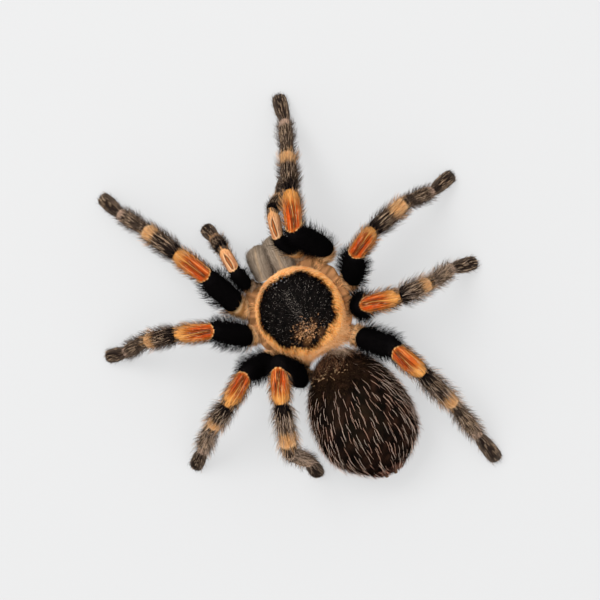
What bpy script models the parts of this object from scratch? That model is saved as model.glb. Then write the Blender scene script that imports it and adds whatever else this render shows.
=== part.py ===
"""A red knee tarantula as a life-size still model: a large ground spider standing on eight bent legs.

The spider faces -Y with +X on its left, and stands on the floor at z = 0. Everything is in metres.
The armour is carapace, chelicerae, coxae and limb segments; the belly sac hangs from a thin waist behind.
"""

import math

import bmesh
import bpy
from mathutils import Matrix, Vector

MM = 0.001

# Driving sizes, in metres.
CARAPACE_LENGTH = 23.8 * MM
CARAPACE_WIDTH = 22.4 * MM
RIM_HEIGHT = 8.2 * MM
CROWN_HEIGHT = 13.0 * MM
EYE_MOUND = Vector((0, -8.6 * MM))
EYE_MOUND_RISE = 1.1 * MM
EYE_LIFT = 0.09 * MM
FOVEA = Vector((0, 3.2 * MM))  # the pit behind the middle of the carapace
JAW_BASE = Vector((0.42 * MM, -12.2 * MM, 6.8 * MM))
JAW_TURN = 11  # the jaws swing this many degrees to the spider's right
JAW_LENGTH = 6.7 * MM
JAW_HALF_WIDTH = 2.56 * MM
JAW_HALF_DEPTH = 2.6 * MM
FANG_LENGTH = 5.6 * MM
ABDOMEN_START = 13.1 * MM
ABDOMEN_SHIFT = -1.3 * MM
ABDOMEN_TURN = 6  # its tail swings this many degrees to the spider's left
ABDOMEN_LENGTH = 32.2 * MM
ABDOMEN_WIDTH = 25.4 * MM
ABDOMEN_DEPTH = 19.0 * MM
HIP_HEIGHT = 5.8 * MM
INNER_COXA = 0.72  # a coxa's girth where it meets the breastplate, against its outer end
GAP = 0.3 * MM  # between one segment and the next
SOLE_PRESS = 0.4 * MM  # how deep a toe is pressed flat on the floor
LIMB_SIDES = 12

# Lengths in millimetres of femur, patella, tibia, metatarsus and tarsus for each pair of legs.
LEG_LENGTHS = {
    1: (15.5, 10.1, 11.8, 10.5, 8.0),
    2: (14.6, 9.4, 10.6, 10.3, 7.8),
    3: (13.2, 9.1, 9.3, 11.4, 7.8),
    4: (15.9, 9.7, 12.1, 14.5, 8.4),
}
# Lengths of the palp's femur, patella, tibia and tarsus.
PALP_LENGTHS = (11.8, 7.6, 7.8, 7.8)

# Where each limb leaves the breastplate, on the left side: x, y in millimetres.
HIPS = {"palp": (2.3, -7.2), 1: (3.6, -4.6), 2: (4.6, -1.2), 3: (4.5, 2.3), 4: (3.3, 5.7)}

# Where each femur starts, on its own side: x out and y back, in millimetres. The legs are not quite mirrored.
FEMUR_STARTS = {
    ("palp", "left"): (8.2, -12.6),
    ("palp", "right"): (7.4, -12.5),
    (1, "left"): (12.5, -8.7),
    (1, "right"): (13.3, -10.0),
    (2, "left"): (14.2, -1.6),
    (2, "right"): (15.2, -0.3),
    (3, "left"): (13.1, 6.3),
    (3, "right"): (13.1, 6.3),
    (4, "left"): (8.9, 13.7),
    (4, "right"): (9.2, 12.9),
}

# The stance. A heading is the way a segment points seen from above, in degrees out from straight ahead.
# A height is that of the segment's far end above the floor, in millimetres.
STANCE = {
    ("palp", "left"): ((-17, 2, 19, 24), (17.8, 14.2, 7.4, 1.0)),
    ("palp", "right"): ((-15, 17, 51, 33), (17.2, 14.6, 7.7, 1.0)),
    (1, "left"): ((5, 23, 24, 32, 22), (18.3, 15.6, 11.5, 4.7, 1.0)),
    (1, "right"): ((-21, 25, 23, 21, 13), (20.3, 18.6, 12.0, 4.8, 1.0)),
    (2, "left"): ((40, 64, 72, 86, 74), (19.3, 18.3, 13.2, 5.6, 1.0)),
    (2, "right"): ((47, 66, 82, 99, 80), (19.9, 13.9, 13.5, 5.3, 1.0)),
    (3, "left"): ((81, 118, 110, 120, 118), (19.1, 19.2, 14.6, 6.1, 1.0)),
    (3, "right"): ((98, 108, 99, 89, 109), (19.7, 20.9, 15.9, 5.9, 1.0)),
    (4, "left"): ((5, 153, 157, 189, 163), (21.5, 22.7, 21.6, 8.0, 1.0)),
    (4, "right"): ((132, 163, 170, 180, 175), (19.8, 18.5, 13.4, 3.1, 1.0)),
}

# Half width and half depth of each limb segment in millimetres, out to the tips of its close coat.
GIRTH = {
    "coxa": (1.95, 2.05),
    "trochanter": (2.3, 2.35),
    "femur": (2.95, 3.0),
    "patella": (2.45, 2.5),
    "tibia": (2.25, 2.3),
    "metatarsus": (1.85, 1.85),
    "tarsus": (2.0, 1.6),
}
# The palps end in thick mitts: the girth of their last segments against that of a slim leg.
MITT = {"tibia": 1.18, "tarsus": 1.36}
# Limb thickness against the first leg's.
STOUTNESS = {"palp": 0.74, 1: 1.0, 2: 0.97, 3: 0.97, 4: 1.02}

# Name, x, y from the mound's middle, half length and half width of each eye, in millimetres, and its turn.
EYES = (
    ("eye_front_middle", 0.62, -0.30, 0.36, 0.36, 0),
    ("eye_front_side", 1.55, -0.62, 0.42, 0.29, 35),
    ("eye_rear_middle", 1.12, 0.36, 0.26, 0.19, -30),
    ("eye_rear_side", 1.72, 0.28, 0.38, 0.22, -20),
)

COLOURS = {
    "black": ((0.012, 0.010, 0.010), 0.7),
    "flame": ((0.62, 0.17, 0.03), 0.6),
    "brown": ((0.10, 0.065, 0.045), 0.7),
    "grey": ((0.16, 0.125, 0.10), 0.75),
    "tan": ((0.42, 0.24, 0.12), 0.7),
    "bronze": ((0.05, 0.03, 0.02), 0.6),
    "eye": ((0.02, 0.02, 0.025), 0.08),
}


def clear_scene():
    for item in list(bpy.data.objects):
        bpy.data.objects.remove(item)


def material(name):
    """A plain finish of this colour and roughness, made once."""
    found = bpy.data.materials.get(name)
    if found:
        return found
    colour, roughness = COLOURS[name]
    made = bpy.data.materials.new(name)
    made.use_nodes = True
    shader = made.node_tree.nodes["Principled BSDF"]
    shader.inputs["Base Color"].default_value = (*colour, 1)
    shader.inputs["Roughness"].default_value = roughness
    return made


def add_solid(name, mesh_maker, finish, root, place=(0, 0, 0)):
    """Makes an object from a bmesh, with its own origin at place, and hangs it on the root."""
    mesh = bpy.data.meshes.new(name)
    bmesh.ops.translate(mesh_maker, verts=mesh_maker.verts, vec=-Vector(place))
    bmesh.ops.recalc_face_normals(mesh_maker, faces=mesh_maker.faces)
    mesh_maker.to_mesh(mesh)
    mesh_maker.free()
    mesh.shade_smooth()
    mesh.set_sharp_from_angle(angle=math.radians(50))
    mesh.materials.append(material(finish))
    item = bpy.data.objects.new(name, mesh)
    bpy.context.scene.collection.objects.link(item)
    item.location = place
    item.parent = root
    return item


def loft(rings, closed_ends=True):
    """A closed skin over rings of points, each ring joined to the next, with flat ends."""
    shape = bmesh.new()
    loops = [[shape.verts.new(point) for point in ring] for ring in rings]
    for near, far in zip(loops, loops[1:]):
        for i in range(len(near)):
            j = (i + 1) % len(near)
            shape.faces.new((near[i], near[j], far[j], far[i]))
    if closed_ends:
        shape.faces.new(loops[0])
        shape.faces.new(loops[-1])
    return shape


def smooth_step(t):
    t = min(max(t, 0.0), 1.0)
    return t * t * (3 - 2 * t)


# ---------------------------------------------------------------- limbs


def limb_joints(start, lengths, headings, heights, side):
    """The joints down a limb: a segment's length and drop fix how far it runs along its heading."""
    places = [Vector(start)]
    for length, heading, height in zip(lengths, headings, heights):
        here = places[-1]
        rise = height * MM - here.z
        run = math.sqrt((length * MM) ** 2 - rise**2)
        angle = math.radians(heading)
        step = Vector((side * run * math.sin(angle), -run * math.cos(angle), rise))
        places.append(here + step)
    return places


def limb_frames(places, level):
    """(direction, side axis, top axis) of each segment. That of segment `level` has a level side axis,
    and the others turn from it only as the limb bends."""
    ways = [(b - a).normalized() for a, b in zip(places, places[1:])]
    across = ways[level].cross(Vector((0, 0, 1))).normalized()
    sides = {level: across}
    for i in range(level + 1, len(ways)):
        sides[i] = ways[i - 1].rotation_difference(ways[i]) @ sides[i - 1]
    for i in range(level - 1, -1, -1):
        sides[i] = ways[i + 1].rotation_difference(ways[i]) @ sides[i + 1]
    return [(way, sides[i], sides[i].cross(way)) for i, way in enumerate(ways)]


def joint_frame(before, after):
    """The mitre between two segments: its normal halves the bend. Also how far it stretches along the top."""
    normal = (before[0] + after[0]).normalized()
    side = (before[1] + after[1]).normalized()
    side = (side - side.dot(normal) * normal).normalized()
    half_bend = math.acos(min(1.0, max(-1.0, before[0].dot(normal))))
    return normal, side, side.cross(normal), min(1.18, 1 / math.cos(half_bend))


def ring(centre, side, top, half_width, half_depth, sides=LIMB_SIDES):
    """An ellipse of points round centre."""
    points = []
    for i in range(sides):
        angle = 2 * math.pi * (i + 0.5) / sides
        points.append(centre + half_width * math.cos(angle) * side + half_depth * math.sin(angle) * top)
    return points


def kept_between(point, start, end, first, last, t, length):
    """The point, drawn back where a bend would push it past the mitre plane at either end of its segment."""
    short = (point - start).dot(first[0]) - (GAP / 2 + 0.12 * length * t)
    if short < 0:
        point = point - short * first[0]
    over = (point - end).dot(last[0]) + GAP / 2 + 0.12 * length * (1 - t)
    if over > 0:
        point = point - over * last[0]
    return point


def segment_rings(start, end, frame, first, last, girth, stations, shape):
    """Rings along one segment. They turn from the mitre at its start to its own axis, and on to the mitre at
    its end. `shape` gives the share of the girth at each point along."""
    way, side, top = frame
    length = (end - start).length
    rings = []
    for t in stations:
        if t < 0.5:
            mitre, weight = first, 1 - smooth_step(t / 0.45)
        else:
            mitre, weight = last, smooth_step((t - 0.55) / 0.45)
        normal = way.lerp(mitre[0], weight).normalized()
        across = side.lerp(mitre[1], weight)
        across = (across - across.dot(normal) * normal).normalized()
        up = across.cross(normal)
        stretch = 1 + (mitre[3] - 1) * weight
        size = shape(t)
        points = ring(start.lerp(end, t), across, up, girth[0] * size, girth[1] * size * stretch)
        rings.append([kept_between(point, start, end, first, last, t, length) for point in points])
    return rings


def swollen(pinch, belly, at=0.5):
    """The girth of a segment that narrows by `pinch` at its ends and swells by `belly` at `at` along it."""
    def shape(t):
        bulge = math.exp(-(((t - at) / 0.3) ** 2))
        return 1 - pinch * abs(2 * t - 1) ** 4 + belly * bulge
    return shape


def blunt_toe(t):
    """The girth of the last segment: fuller in the middle, then rounded off over its last fifth."""
    full = 0.82 + 0.22 * math.sin(math.pi * min(t, 0.8) / 1.1)
    past = max(0.0, (t - 0.8) / 0.2)
    return full * math.sqrt(max(0.0, 1 - 0.7 * past**2))


def widening_coxa(t):
    """The girth of a coxa: slim at the breastplate and full where the trochanter starts."""
    return swollen(0.12, 0.03)(t) * (INNER_COXA + (1 - INNER_COXA) * t)


SHAPES = {
    "coxa": widening_coxa,
    "trochanter": swollen(0.1, 0.05),
    "femur": swollen(0.15, 0.04, 0.4),
    "patella": swollen(0.14, 0.03),
    "tibia": swollen(0.16, 0.04, 0.3),
    "metatarsus": swollen(0.18, 0.10, 0.5),
    "tarsus": blunt_toe,
}
# How far along each segment its rings stand.
STATIONS = {
    "coxa": (0, 0.4, 1),
    "trochanter": (0, 0.5, 1),
    "femur": (0, 0.2, 0.45, 0.8, 1),
    "patella": (0, 0.22, 0.5, 0.78, 1),
    "tibia": (0, 0.2, 0.45, 0.8, 1),
    "metatarsus": (0, 0.2, 0.5, 0.82, 1),
    "tarsus": (0, 0.25, 0.5, 0.7, 0.84, 0.94, 1),
}


def limb(label, kind, side_name, nodes, root):
    """One whole limb from the breastplate out. `nodes` says which segments make each node, and its finish."""
    side = 1 if side_name == "left" else -1
    x0, y0 = HIPS[kind]
    x1, y1 = FEMUR_STARTS[kind, side_name]
    base = Vector((side * x0 * MM, y0 * MM, HIP_HEIGHT))
    start = Vector((side * x1 * MM, y1 * MM, HIP_HEIGHT + 0.9 * MM))
    coxa_end = base.lerp(start, 0.72)
    coxa_end.z = HIP_HEIGHT
    headings, heights = STANCE[kind, side_name]
    lengths = PALP_LENGTHS if kind == "palp" else LEG_LENGTHS[kind]
    places = [base, coxa_end, *limb_joints(start, lengths, headings, heights, side)]
    names = ["coxa", "trochanter", "femur", "patella", "tibia", "metatarsus", "tarsus"]
    if kind == "palp":
        names.remove("metatarsus")
    frames = limb_frames(places, names.index("patella"))
    ends = [(*frames[0], 1.0)]
    ends += [joint_frame(a, b) for a, b in zip(frames, frames[1:])]
    ends += [(*frames[-1], 1.0)]
    stout = STOUTNESS[kind]

    def rings_of(i):
        name = names[i]
        stouter = stout * MITT.get(name, 1.0) if kind == "palp" else stout
        girth = [size * stouter * MM for size in GIRTH[name]]
        start, end = places[i : i + 2]
        first, last = ends[i : i + 2]
        return segment_rings(start, end, frames[i], first, last, girth, STATIONS[name], SHAPES[name])

    for node, members, finish in nodes:
        rings = []
        for name in members:
            more = rings_of(names.index(name))
            if rings:  # segments that share a node share the ring between them
                rings[-1] = [(a + b) / 2 for a, b in zip(rings[-1], more[0])]
                more = more[1:]
            rings += more
        if members[-1] == "tarsus":
            rings = pressed_on_floor(rings)
        add_solid(f"{label}_{node}", loft(rings), finish, root, places[names.index(members[0])])


def pressed_on_floor(rings):
    """The toe, lowered a little more towards its tip, so that its sole goes flat on the floor."""
    toe = rings[-5:]
    lowest = min(point.z for points in toe for point in points)
    lowered = []
    for i, points in enumerate(rings):
        share = smooth_step((i - len(rings) + 7) / 4)
        drop = (lowest + SOLE_PRESS) * share
        lowered.append([Vector((p.x, p.y, max(p.z - drop, 0.0))) for p in points])
    return lowered


LEG_NODES = (
    ("coxa", ("coxa", "trochanter"), "tan"),
    ("femur", ("femur",), "black"),
    ("patella", ("patella",), "flame"),
    ("tibia", ("tibia",), "brown"),
    ("foot", ("metatarsus", "tarsus"), "grey"),
)
PALP_NODES = (
    ("femur", ("coxa", "trochanter", "femur"), "black"),
    ("tibia", ("patella", "tibia"), "flame"),
    ("tarsus", ("tarsus",), "grey"),
)


def add_limbs(root):
    for side in ("left", "right"):
        for number in LEG_LENGTHS:
            limb(f"leg_{number}_{side}", number, side, LEG_NODES, root)
        limb(f"palp_{side}", "palp", side, PALP_NODES, root)


# ---------------------------------------------------------------- carapace and eyes


def carapace_edge(angle):
    """Distance from the middle to the rim. The angle is 0 at the front; the front is cut off broad and flat,
    and the back has a shallow bay over the waist."""
    x, y = math.sin(angle), -math.cos(angle)
    round_edge = 1 / math.hypot(2 * x / CARAPACE_WIDTH, 2 * y / CARAPACE_LENGTH)
    flat_front = (CARAPACE_LENGTH / 2 + 0.3 * MM) / max(-y, 1e-6)
    bay = 0.9 * MM * math.exp(-(((abs(angle) - math.pi) / 0.4) ** 2))
    blend = (round_edge**-24 + flat_front**-24) ** (-1 / 24)
    return blend - bay


def carapace_height(x, y):
    """Height of the shield above the floor. It domes from the rim to the crown, with the head region raised
    in front, a pit behind the middle and a mound that carries the eyes."""
    angle = math.atan2(x, -y)
    share = min(1.0, math.hypot(x, y) / carapace_edge(angle))
    dome = (1 - share**2.6) ** 0.75
    height = RIM_HEIGHT + 1.0 * MM + (CROWN_HEIGHT - RIM_HEIGHT - 1.4 * MM) * dome
    head = math.exp(-((x / (4.6 * MM)) ** 2) - (((y + 5 * MM) / (5.2 * MM)) ** 2))
    height += 0.8 * MM * head * (1 - share**6)
    pit = math.exp(-(((x - FOVEA.x) / (1.6 * MM)) ** 2) - (((y - FOVEA.y) / (1.1 * MM)) ** 2))
    mound = math.exp(-(((x - EYE_MOUND.x) / (2.1 * MM)) ** 2) - (((y - EYE_MOUND.y) / (1.3 * MM)) ** 2))
    return height - 0.7 * MM * pit + EYE_MOUND_RISE * mound


def add_carapace(root):
    """The shield over the front half: a domed top on a flat underside, with a rounded rim."""
    spokes = 32
    shares = (1.0, 0.985, 0.93, 0.85, 0.78, 0.71, 0.6, 0.47, 0.34, 0.2, 0.09)
    rings = []
    for level, share in enumerate((0.975, *shares)):
        points = []
        for i in range(spokes):
            angle = 2 * math.pi * i / spokes - math.pi
            reach = carapace_edge(angle) * share
            x, y = reach * math.sin(angle), -reach * math.cos(angle)
            z = (RIM_HEIGHT, RIM_HEIGHT + 0.45 * MM)[level] if level < 2 else carapace_height(x, y)
            points.append(Vector((x, y, z)))
        rings.append(points)
    add_solid("carapace", loft(rings), "black", root)


def surface_normal(x, y):
    reach = 0.25 * MM
    across = carapace_height(x + reach, y) - carapace_height(x - reach, y)
    along = carapace_height(x, y + reach) - carapace_height(x, y - reach)
    return Vector((-across, -along, 2 * reach)).normalized()


def add_eyes(root):
    """Eight glassy domes on the mound, four to a side."""
    for side_name, side in (("left", 1), ("right", -1)):
        for name, dx, dy, long_half, short_half, turn in EYES:
            x, y = side * dx * MM, EYE_MOUND.y + dy * MM
            normal = surface_normal(x, y)
            dome = bmesh.new()
            bmesh.ops.create_uvsphere(dome, u_segments=8, v_segments=5, radius=1)
            flat = bmesh.ops.bisect_plane(dome, geom=dome.verts[:] + dome.edges[:] + dome.faces[:],
                                          plane_co=(0, 0, -0.2), plane_no=(0, 0, 1), clear_inner=True)
            rim = [e for e in flat["geom_cut"] if isinstance(e, bmesh.types.BMEdge)]
            bmesh.ops.contextual_create(dome, geom=rim)
            size = Matrix.Diagonal((long_half * MM, short_half * MM, short_half * MM, 1))
            spin = Matrix.Rotation(math.radians(side * turn), 4, "Z")
            tilt = Vector((0, 0, 1)).rotation_difference(normal).to_matrix().to_4x4()
            bmesh.ops.transform(dome, matrix=tilt @ spin @ size, verts=dome.verts)
            foot = Vector((x, y, carapace_height(x, y))) + normal * (0.2 * short_half * MM + EYE_LIFT)
            bmesh.ops.translate(dome, verts=dome.verts, vec=foot)
            add_solid(f"{name}_{side_name}", dome, "eye", root, foot)


# ---------------------------------------------------------------- underside, jaws and abdomen


def add_sternum(root):
    """The breastplate between the hips, with the small lip plate in front of it."""
    spokes = 24
    centre_y, half_x, half_y = -0.5 * MM, 3.7 * MM, 5.9 * MM
    levels = ((0.55, 3.7), (0.86, 4.1), (1.0, 5.0), (1.0, 7.0), (0.9, 7.9))
    rings = []
    for share, height in levels:
        points = []
        for i in range(spokes):
            angle = 2 * math.pi * i / spokes
            x, y = math.sin(angle), -math.cos(angle)
            lip = 3.4 * MM * math.exp(-((x / 0.22) ** 2)) * (y < 0)
            points.append(Vector((half_x * share * x, centre_y + (half_y + lip) * share * y, height * MM)))
        rings.append(points)
    add_solid("sternum", loft(rings), "brown", root)


def add_jaw(side_name, side, root):
    """One chelicera: a stout paw that bulges forward from under the carapace and turns down, with the fang
    folded back beneath it."""
    swing = Matrix.Rotation(math.radians(-JAW_TURN), 4, "Z")
    offset = JAW_HALF_WIDTH + 0.15 * MM

    def place(forward, lift):
        along = swing @ Vector((side * offset, -forward, 0))
        return JAW_BASE + along + Vector((0, 0, lift))

    rings = []
    count = 8
    for i in range(count):
        t = i / (count - 1)
        droop = math.radians(62) * t**1.6
        forward = JAW_LENGTH * math.sin(0.5 * math.pi * t) * 0.86
        centre = place(forward, 0.5 * MM * math.sin(math.pi * t) - 2.0 * MM * t**2)
        normal = swing @ Vector((0, -math.cos(droop), -math.sin(droop)))
        across = swing @ Vector((1, 0, 0))
        size = 0.86 + 0.18 * math.sin(math.pi * min(t, 0.6) / 1.2)
        size *= math.sqrt(1 - 0.8 * max(0, (t - 0.6) / 0.4) ** 2)
        rings.append(ring(centre, across, across.cross(normal), JAW_HALF_WIDTH * size, JAW_HALF_DEPTH * size))
    jaw = add_solid(f"chelicera_{side_name}", loft(rings), "grey", root, JAW_BASE)

    rings = []
    count = 6
    for i in range(count):
        t = i / (count - 1)
        bend = math.radians(115) * t**0.8
        radius = FANG_LENGTH * 0.42
        centre = place(JAW_LENGTH * 0.66 - radius * (1 - math.cos(bend)), -1.9 * MM - radius * math.sin(bend))
        normal = swing @ Vector((0, math.sin(bend), -math.cos(bend)))
        across = swing @ Vector((1, 0, 0))
        size = 0.75 * MM * (1 - 0.7 * t)
        rings.append(ring(centre, across, across.cross(normal), size, size, 8))
    fang = add_solid(f"fang_{side_name}", loft(rings), "black", root, JAW_BASE)
    fang.hide_render = True
    fang.display_type = "WIRE"
    join(jaw, fang)


def join(item, other):
    """A live Boolean union of the two closed shapes."""
    union = item.modifiers.new(f"with_{other.name}", "BOOLEAN")
    union.operation = "UNION"
    union.solver = "EXACT"
    union.object = other


def add_abdomen(root):
    """The egg-shaped sac, drawn out in front to the thin waist, with a pair of spinnerets at its tail."""
    spokes = 20
    count = 15
    waist_end = 6.4 * MM
    waist = 1.1 * MM
    turn = Matrix.Rotation(math.radians(-ABDOMEN_TURN), 4, "Z")
    hinge = Vector((ABDOMEN_SHIFT, ABDOMEN_START, 0))
    rings = []
    for centre in (Vector((0, waist_end, 6.5 * MM)), Vector((0, 11.2 * MM, 6.8 * MM))):
        rings.append(ring(centre, Vector((1, 0, 0)), Vector((0, 0, 1)), waist, waist * 0.9, spokes))
    for i in range(count):
        angle = math.pi * (0.06 + 0.9 * i / (count - 1))
        along = (1 - math.cos(angle)) / 2
        fat = math.sin(angle) ** 0.82 * (1 + 0.2 * (along - 0.5))
        fat *= 1 - 0.10 * math.exp(-(((along - 0.96) / 0.1) ** 2))
        lift = 9.2 + 2.4 * math.sin(math.pi * min(along * 1.1, 1) ** 0.9) - 1.4 * along**3
        centre = hinge + turn @ Vector((0, along * ABDOMEN_LENGTH, lift * MM))
        width, depth = ABDOMEN_WIDTH / 2 * fat, ABDOMEN_DEPTH / 2 * fat
        rings.append(ring(centre, turn @ Vector((1, 0, 0)), Vector((0, 0, 1)), width, depth, spokes))
    sac = add_solid("abdomen", loft(rings), "bronze", root, hinge)
    for side in (1, -1):
        rings = []
        for i in range(5):
            t = i / 4
            out = side * (1.5 - 0.3 * t) * MM
            back = ABDOMEN_LENGTH + (4.2 * t - 3.2) * MM
            centre = hinge + turn @ Vector((out, back, (7.4 + 1.2 * t) * MM))
            size = 0.85 * MM * (1 - 0.55 * t**2)
            rings.append(ring(centre, turn @ Vector((1, 0, 0)), Vector((0, 0, 1)), size, size, 8))
        finger = add_solid(f"spinneret_{side}", loft(rings), "brown", root, hinge)
        finger.hide_render = True
        finger.display_type = "WIRE"
        join(sac, finger)


def stand_on_centre(root):
    """Moves the whole spider so that the middle of its box is over the origin, with its feet on the floor."""
    bpy.context.view_layer.update()
    solids = [item for item in root.children if not item.hide_render]
    corners = [item.matrix_world @ Vector(corner) for item in solids for corner in item.bound_box]
    low = [min(c[i] for c in corners) for i in range(2)]
    high = [max(c[i] for c in corners) for i in range(2)]
    root.location = (-(low[0] + high[0]) / 2, -(low[1] + high[1]) / 2, 0)


def main():
    clear_scene()
    root = bpy.data.objects.new("tarantula", None)
    bpy.context.scene.collection.objects.link(root)
    add_carapace(root)
    add_eyes(root)
    add_sternum(root)
    for side_name, side in (("left", 1), ("right", -1)):
        add_jaw(side_name, side, root)
    add_abdomen(root)
    add_limbs(root)
    stand_on_centre(root)


main()
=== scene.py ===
import math

import bpy
import numpy as np
from mathutils import Matrix, Vector


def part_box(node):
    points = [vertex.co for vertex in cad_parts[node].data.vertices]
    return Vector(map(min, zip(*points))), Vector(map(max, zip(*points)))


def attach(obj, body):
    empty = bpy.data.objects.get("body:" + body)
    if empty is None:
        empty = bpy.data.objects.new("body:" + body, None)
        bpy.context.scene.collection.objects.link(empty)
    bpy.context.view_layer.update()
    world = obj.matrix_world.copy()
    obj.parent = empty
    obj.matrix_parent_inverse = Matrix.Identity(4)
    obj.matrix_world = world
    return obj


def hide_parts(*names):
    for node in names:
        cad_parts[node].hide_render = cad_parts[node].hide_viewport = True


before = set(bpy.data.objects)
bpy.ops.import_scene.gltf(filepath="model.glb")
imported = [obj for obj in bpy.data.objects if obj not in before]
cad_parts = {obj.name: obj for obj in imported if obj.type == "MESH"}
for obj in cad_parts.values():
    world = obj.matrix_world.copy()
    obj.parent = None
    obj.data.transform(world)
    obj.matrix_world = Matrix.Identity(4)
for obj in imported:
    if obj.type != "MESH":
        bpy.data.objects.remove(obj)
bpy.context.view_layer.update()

# ======================================================================= camera, floor and studio light
# The spider is seen from nearly straight above, 0.55 m away, with its head end towards the upper left. It
# stands on a pale table that glows faintly from below, so that it stays evenly white, under two soft lamps.
MM = 0.001
FORWARD_TURN = math.radians(32.2)
CAMERA_AWAY, PICTURE_WIDTH = 0.55, 0.150
LEAN_RIGHT, LEAN_UP = 0.119, 0.061
AIM_LEFT, AIM_UP = 1.145 * MM, 2.53 * MM
NOSE_TO_MIDDLE = 11.685 * MM
carapace_low, carapace_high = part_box("carapace")
middle = np.array([(carapace_low.x + carapace_high.x) / 2, carapace_low.y + NOSE_TO_MIDDLE, 0.0])
view_right = np.array([-math.cos(FORWARD_TURN), math.sin(FORWARD_TURN), 0.0])
view_up = np.array([-math.sin(FORWARD_TURN), -math.cos(FORWARD_TURN), 0.0])


def unit(v):
    """Vectors along the last axis, each divided by its own length."""
    return v / np.maximum(np.linalg.norm(v, axis=-1, keepdims=True), 1e-12)


aim = middle - AIM_LEFT * view_right + AIM_UP * view_up
towards_camera = unit(LEAN_RIGHT * view_right + LEAN_UP * view_up + np.array([0.0, 0.0, 1.0]))
camera_right = unit(np.cross(view_up, towards_camera))
camera_up = np.cross(towards_camera, camera_right)
camera = bpy.data.objects.new("camera", bpy.data.cameras.new("camera"))
bpy.context.scene.collection.objects.link(camera)
turn = np.eye(4)
turn[:3, 0], turn[:3, 1], turn[:3, 2] = camera_right, camera_up, towards_camera
turn[:3, 3] = aim + CAMERA_AWAY * towards_camera
camera.matrix_world = Matrix(turn.tolist())
camera.data.sensor_width = 36
camera.data.lens = 36 * CAMERA_AWAY / PICTURE_WIDTH
camera.data.clip_start = 0.01
bpy.context.scene.camera = camera
bpy.context.scene.view_settings.view_transform = "Standard"

floor_mesh = bpy.data.meshes.new("floor")
floor_mesh.from_pydata([(-1.5, -1.5, 0), (1.5, -1.5, 0), (1.5, 1.5, 0), (-1.5, 1.5, 0)], [], [(0, 1, 2, 3)])
floor = bpy.data.objects.new("floor", floor_mesh)
bpy.context.scene.collection.objects.link(floor)
paper = bpy.data.materials.new("paper")
paper.use_nodes = True
shader = paper.node_tree.nodes["Principled BSDF"]
shader.inputs["Base Color"].default_value = (0.19, 0.19, 0.19, 1)
shader.inputs["Emission Color"].default_value = (0.99, 0.995, 1.0, 1)
shader.inputs["Emission Strength"].default_value = 0.482
shader.inputs["Roughness"].default_value = 0.9
shader.inputs["Specular IOR Level"].default_value = 0.1
floor_mesh.materials.append(paper)


def softbox(name, across, up, height, size, power):
    """A square lamp aimed at the spider from this far across, up the picture and above the floor."""
    lamp = bpy.data.lights.new(name, "AREA")
    lamp.size = size
    lamp.energy = power
    holder = bpy.data.objects.new(name, lamp)
    bpy.context.scene.collection.objects.link(holder)
    place = middle + across * view_right + up * view_up + np.array([0, 0, height])
    holder.location = place
    holder.rotation_euler = Vector(place - middle).to_track_quat("Z", "Y").to_euler()


softbox("key", -0.42, 0.48, 1.00, 0.60, 9.0)
softbox("fill", 0.30, -0.10, 1.10, 0.80, 3.6)
world = bpy.data.worlds.new("studio")
world.use_nodes = True
world.node_tree.nodes["Background"].inputs["Color"].default_value = (1.0, 1.0, 1.0, 1)
world.node_tree.nodes["Background"].inputs["Strength"].default_value = 1.25
bpy.context.scene.world = world

# ======================================================================= limbs: flesh
# Eight legs and two palps: hard tubes that swell between the joints and pinch in at each soft joint, from the
# hips under the shield to the blunt toes. One skin with the belly sac; a close coat of hair covers it.
COXA, TROCHANTER, FEMUR, PATELLA, TIBIA, METATARSUS, TARSUS = range(7)
NODES_OF = {"leg": ("coxa", "femur", "patella", "tibia", "foot"), "palp": ("femur", "tibia", "tarsus")}
RINGS_OF = {"leg": (0, 2, 4, 8, 12, 16, 20, 26), "palp": (0, 2, 4, 8, 12, 16, 16, 22)}
COAT_DEPTH = np.array([0.25, 0.25, 0.55, 0.30, 0.38, 0.36, 0.30]) * MM
SKIN_RINGS = (8, 6, 14, 50, 34, 24, 24)
ROUND = 54


def node_rings(node, near):
    """The rings of corners along a CAD segment. It starts from the flat end nearest to a point and walks the
    triangles from each ring to the next, so ring k holds the corners k steps from that end."""
    mesh = bpy.data.objects[node].data
    co = np.empty(len(mesh.vertices) * 3)
    mesh.vertices.foreach_get("co", co)
    mesh.calc_loop_triangles()
    tri = np.empty(len(mesh.loop_triangles) * 3, dtype=np.int64)
    mesh.loop_triangles.foreach_get("vertices", tri)
    co, same = np.unique(np.round(co.reshape(-1, 3), 7), axis=0, return_inverse=True)
    tri = same.reshape(-1)[tri].reshape(-1, 3)
    a, b, c = co[tri[:, 0]], co[tri[:, 1]], co[tri[:, 2]]
    normal = unit(np.cross(b - a, c - a))
    offset = (normal * a).sum(1)
    alike = (normal @ normal.T > 0.9995) & (np.abs(offset[:, None] - offset[None, :]) < 2e-5)
    flat = (alike.sum(1) >= 9) & (normal[:, 2] > -0.98)
    middles = (a + b + c) / 3
    first = np.where(flat)[0][np.argmin(np.linalg.norm(middles[flat] - near, axis=1))]
    level = np.full(len(co), -1)
    level[np.unique(tri[alike[first]])] = 0
    step = 0
    while (level < 0).any():
        touched = tri[(level[tri] == step).any(1)].ravel()
        step += 1
        fresh = touched[level[touched] < 0]
        if len(fresh) == 0:
            break
        level[fresh] = step
    return [co[level == k] for k in range(step)] + ([co[level == step]] if (level == step).any() else [])


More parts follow.
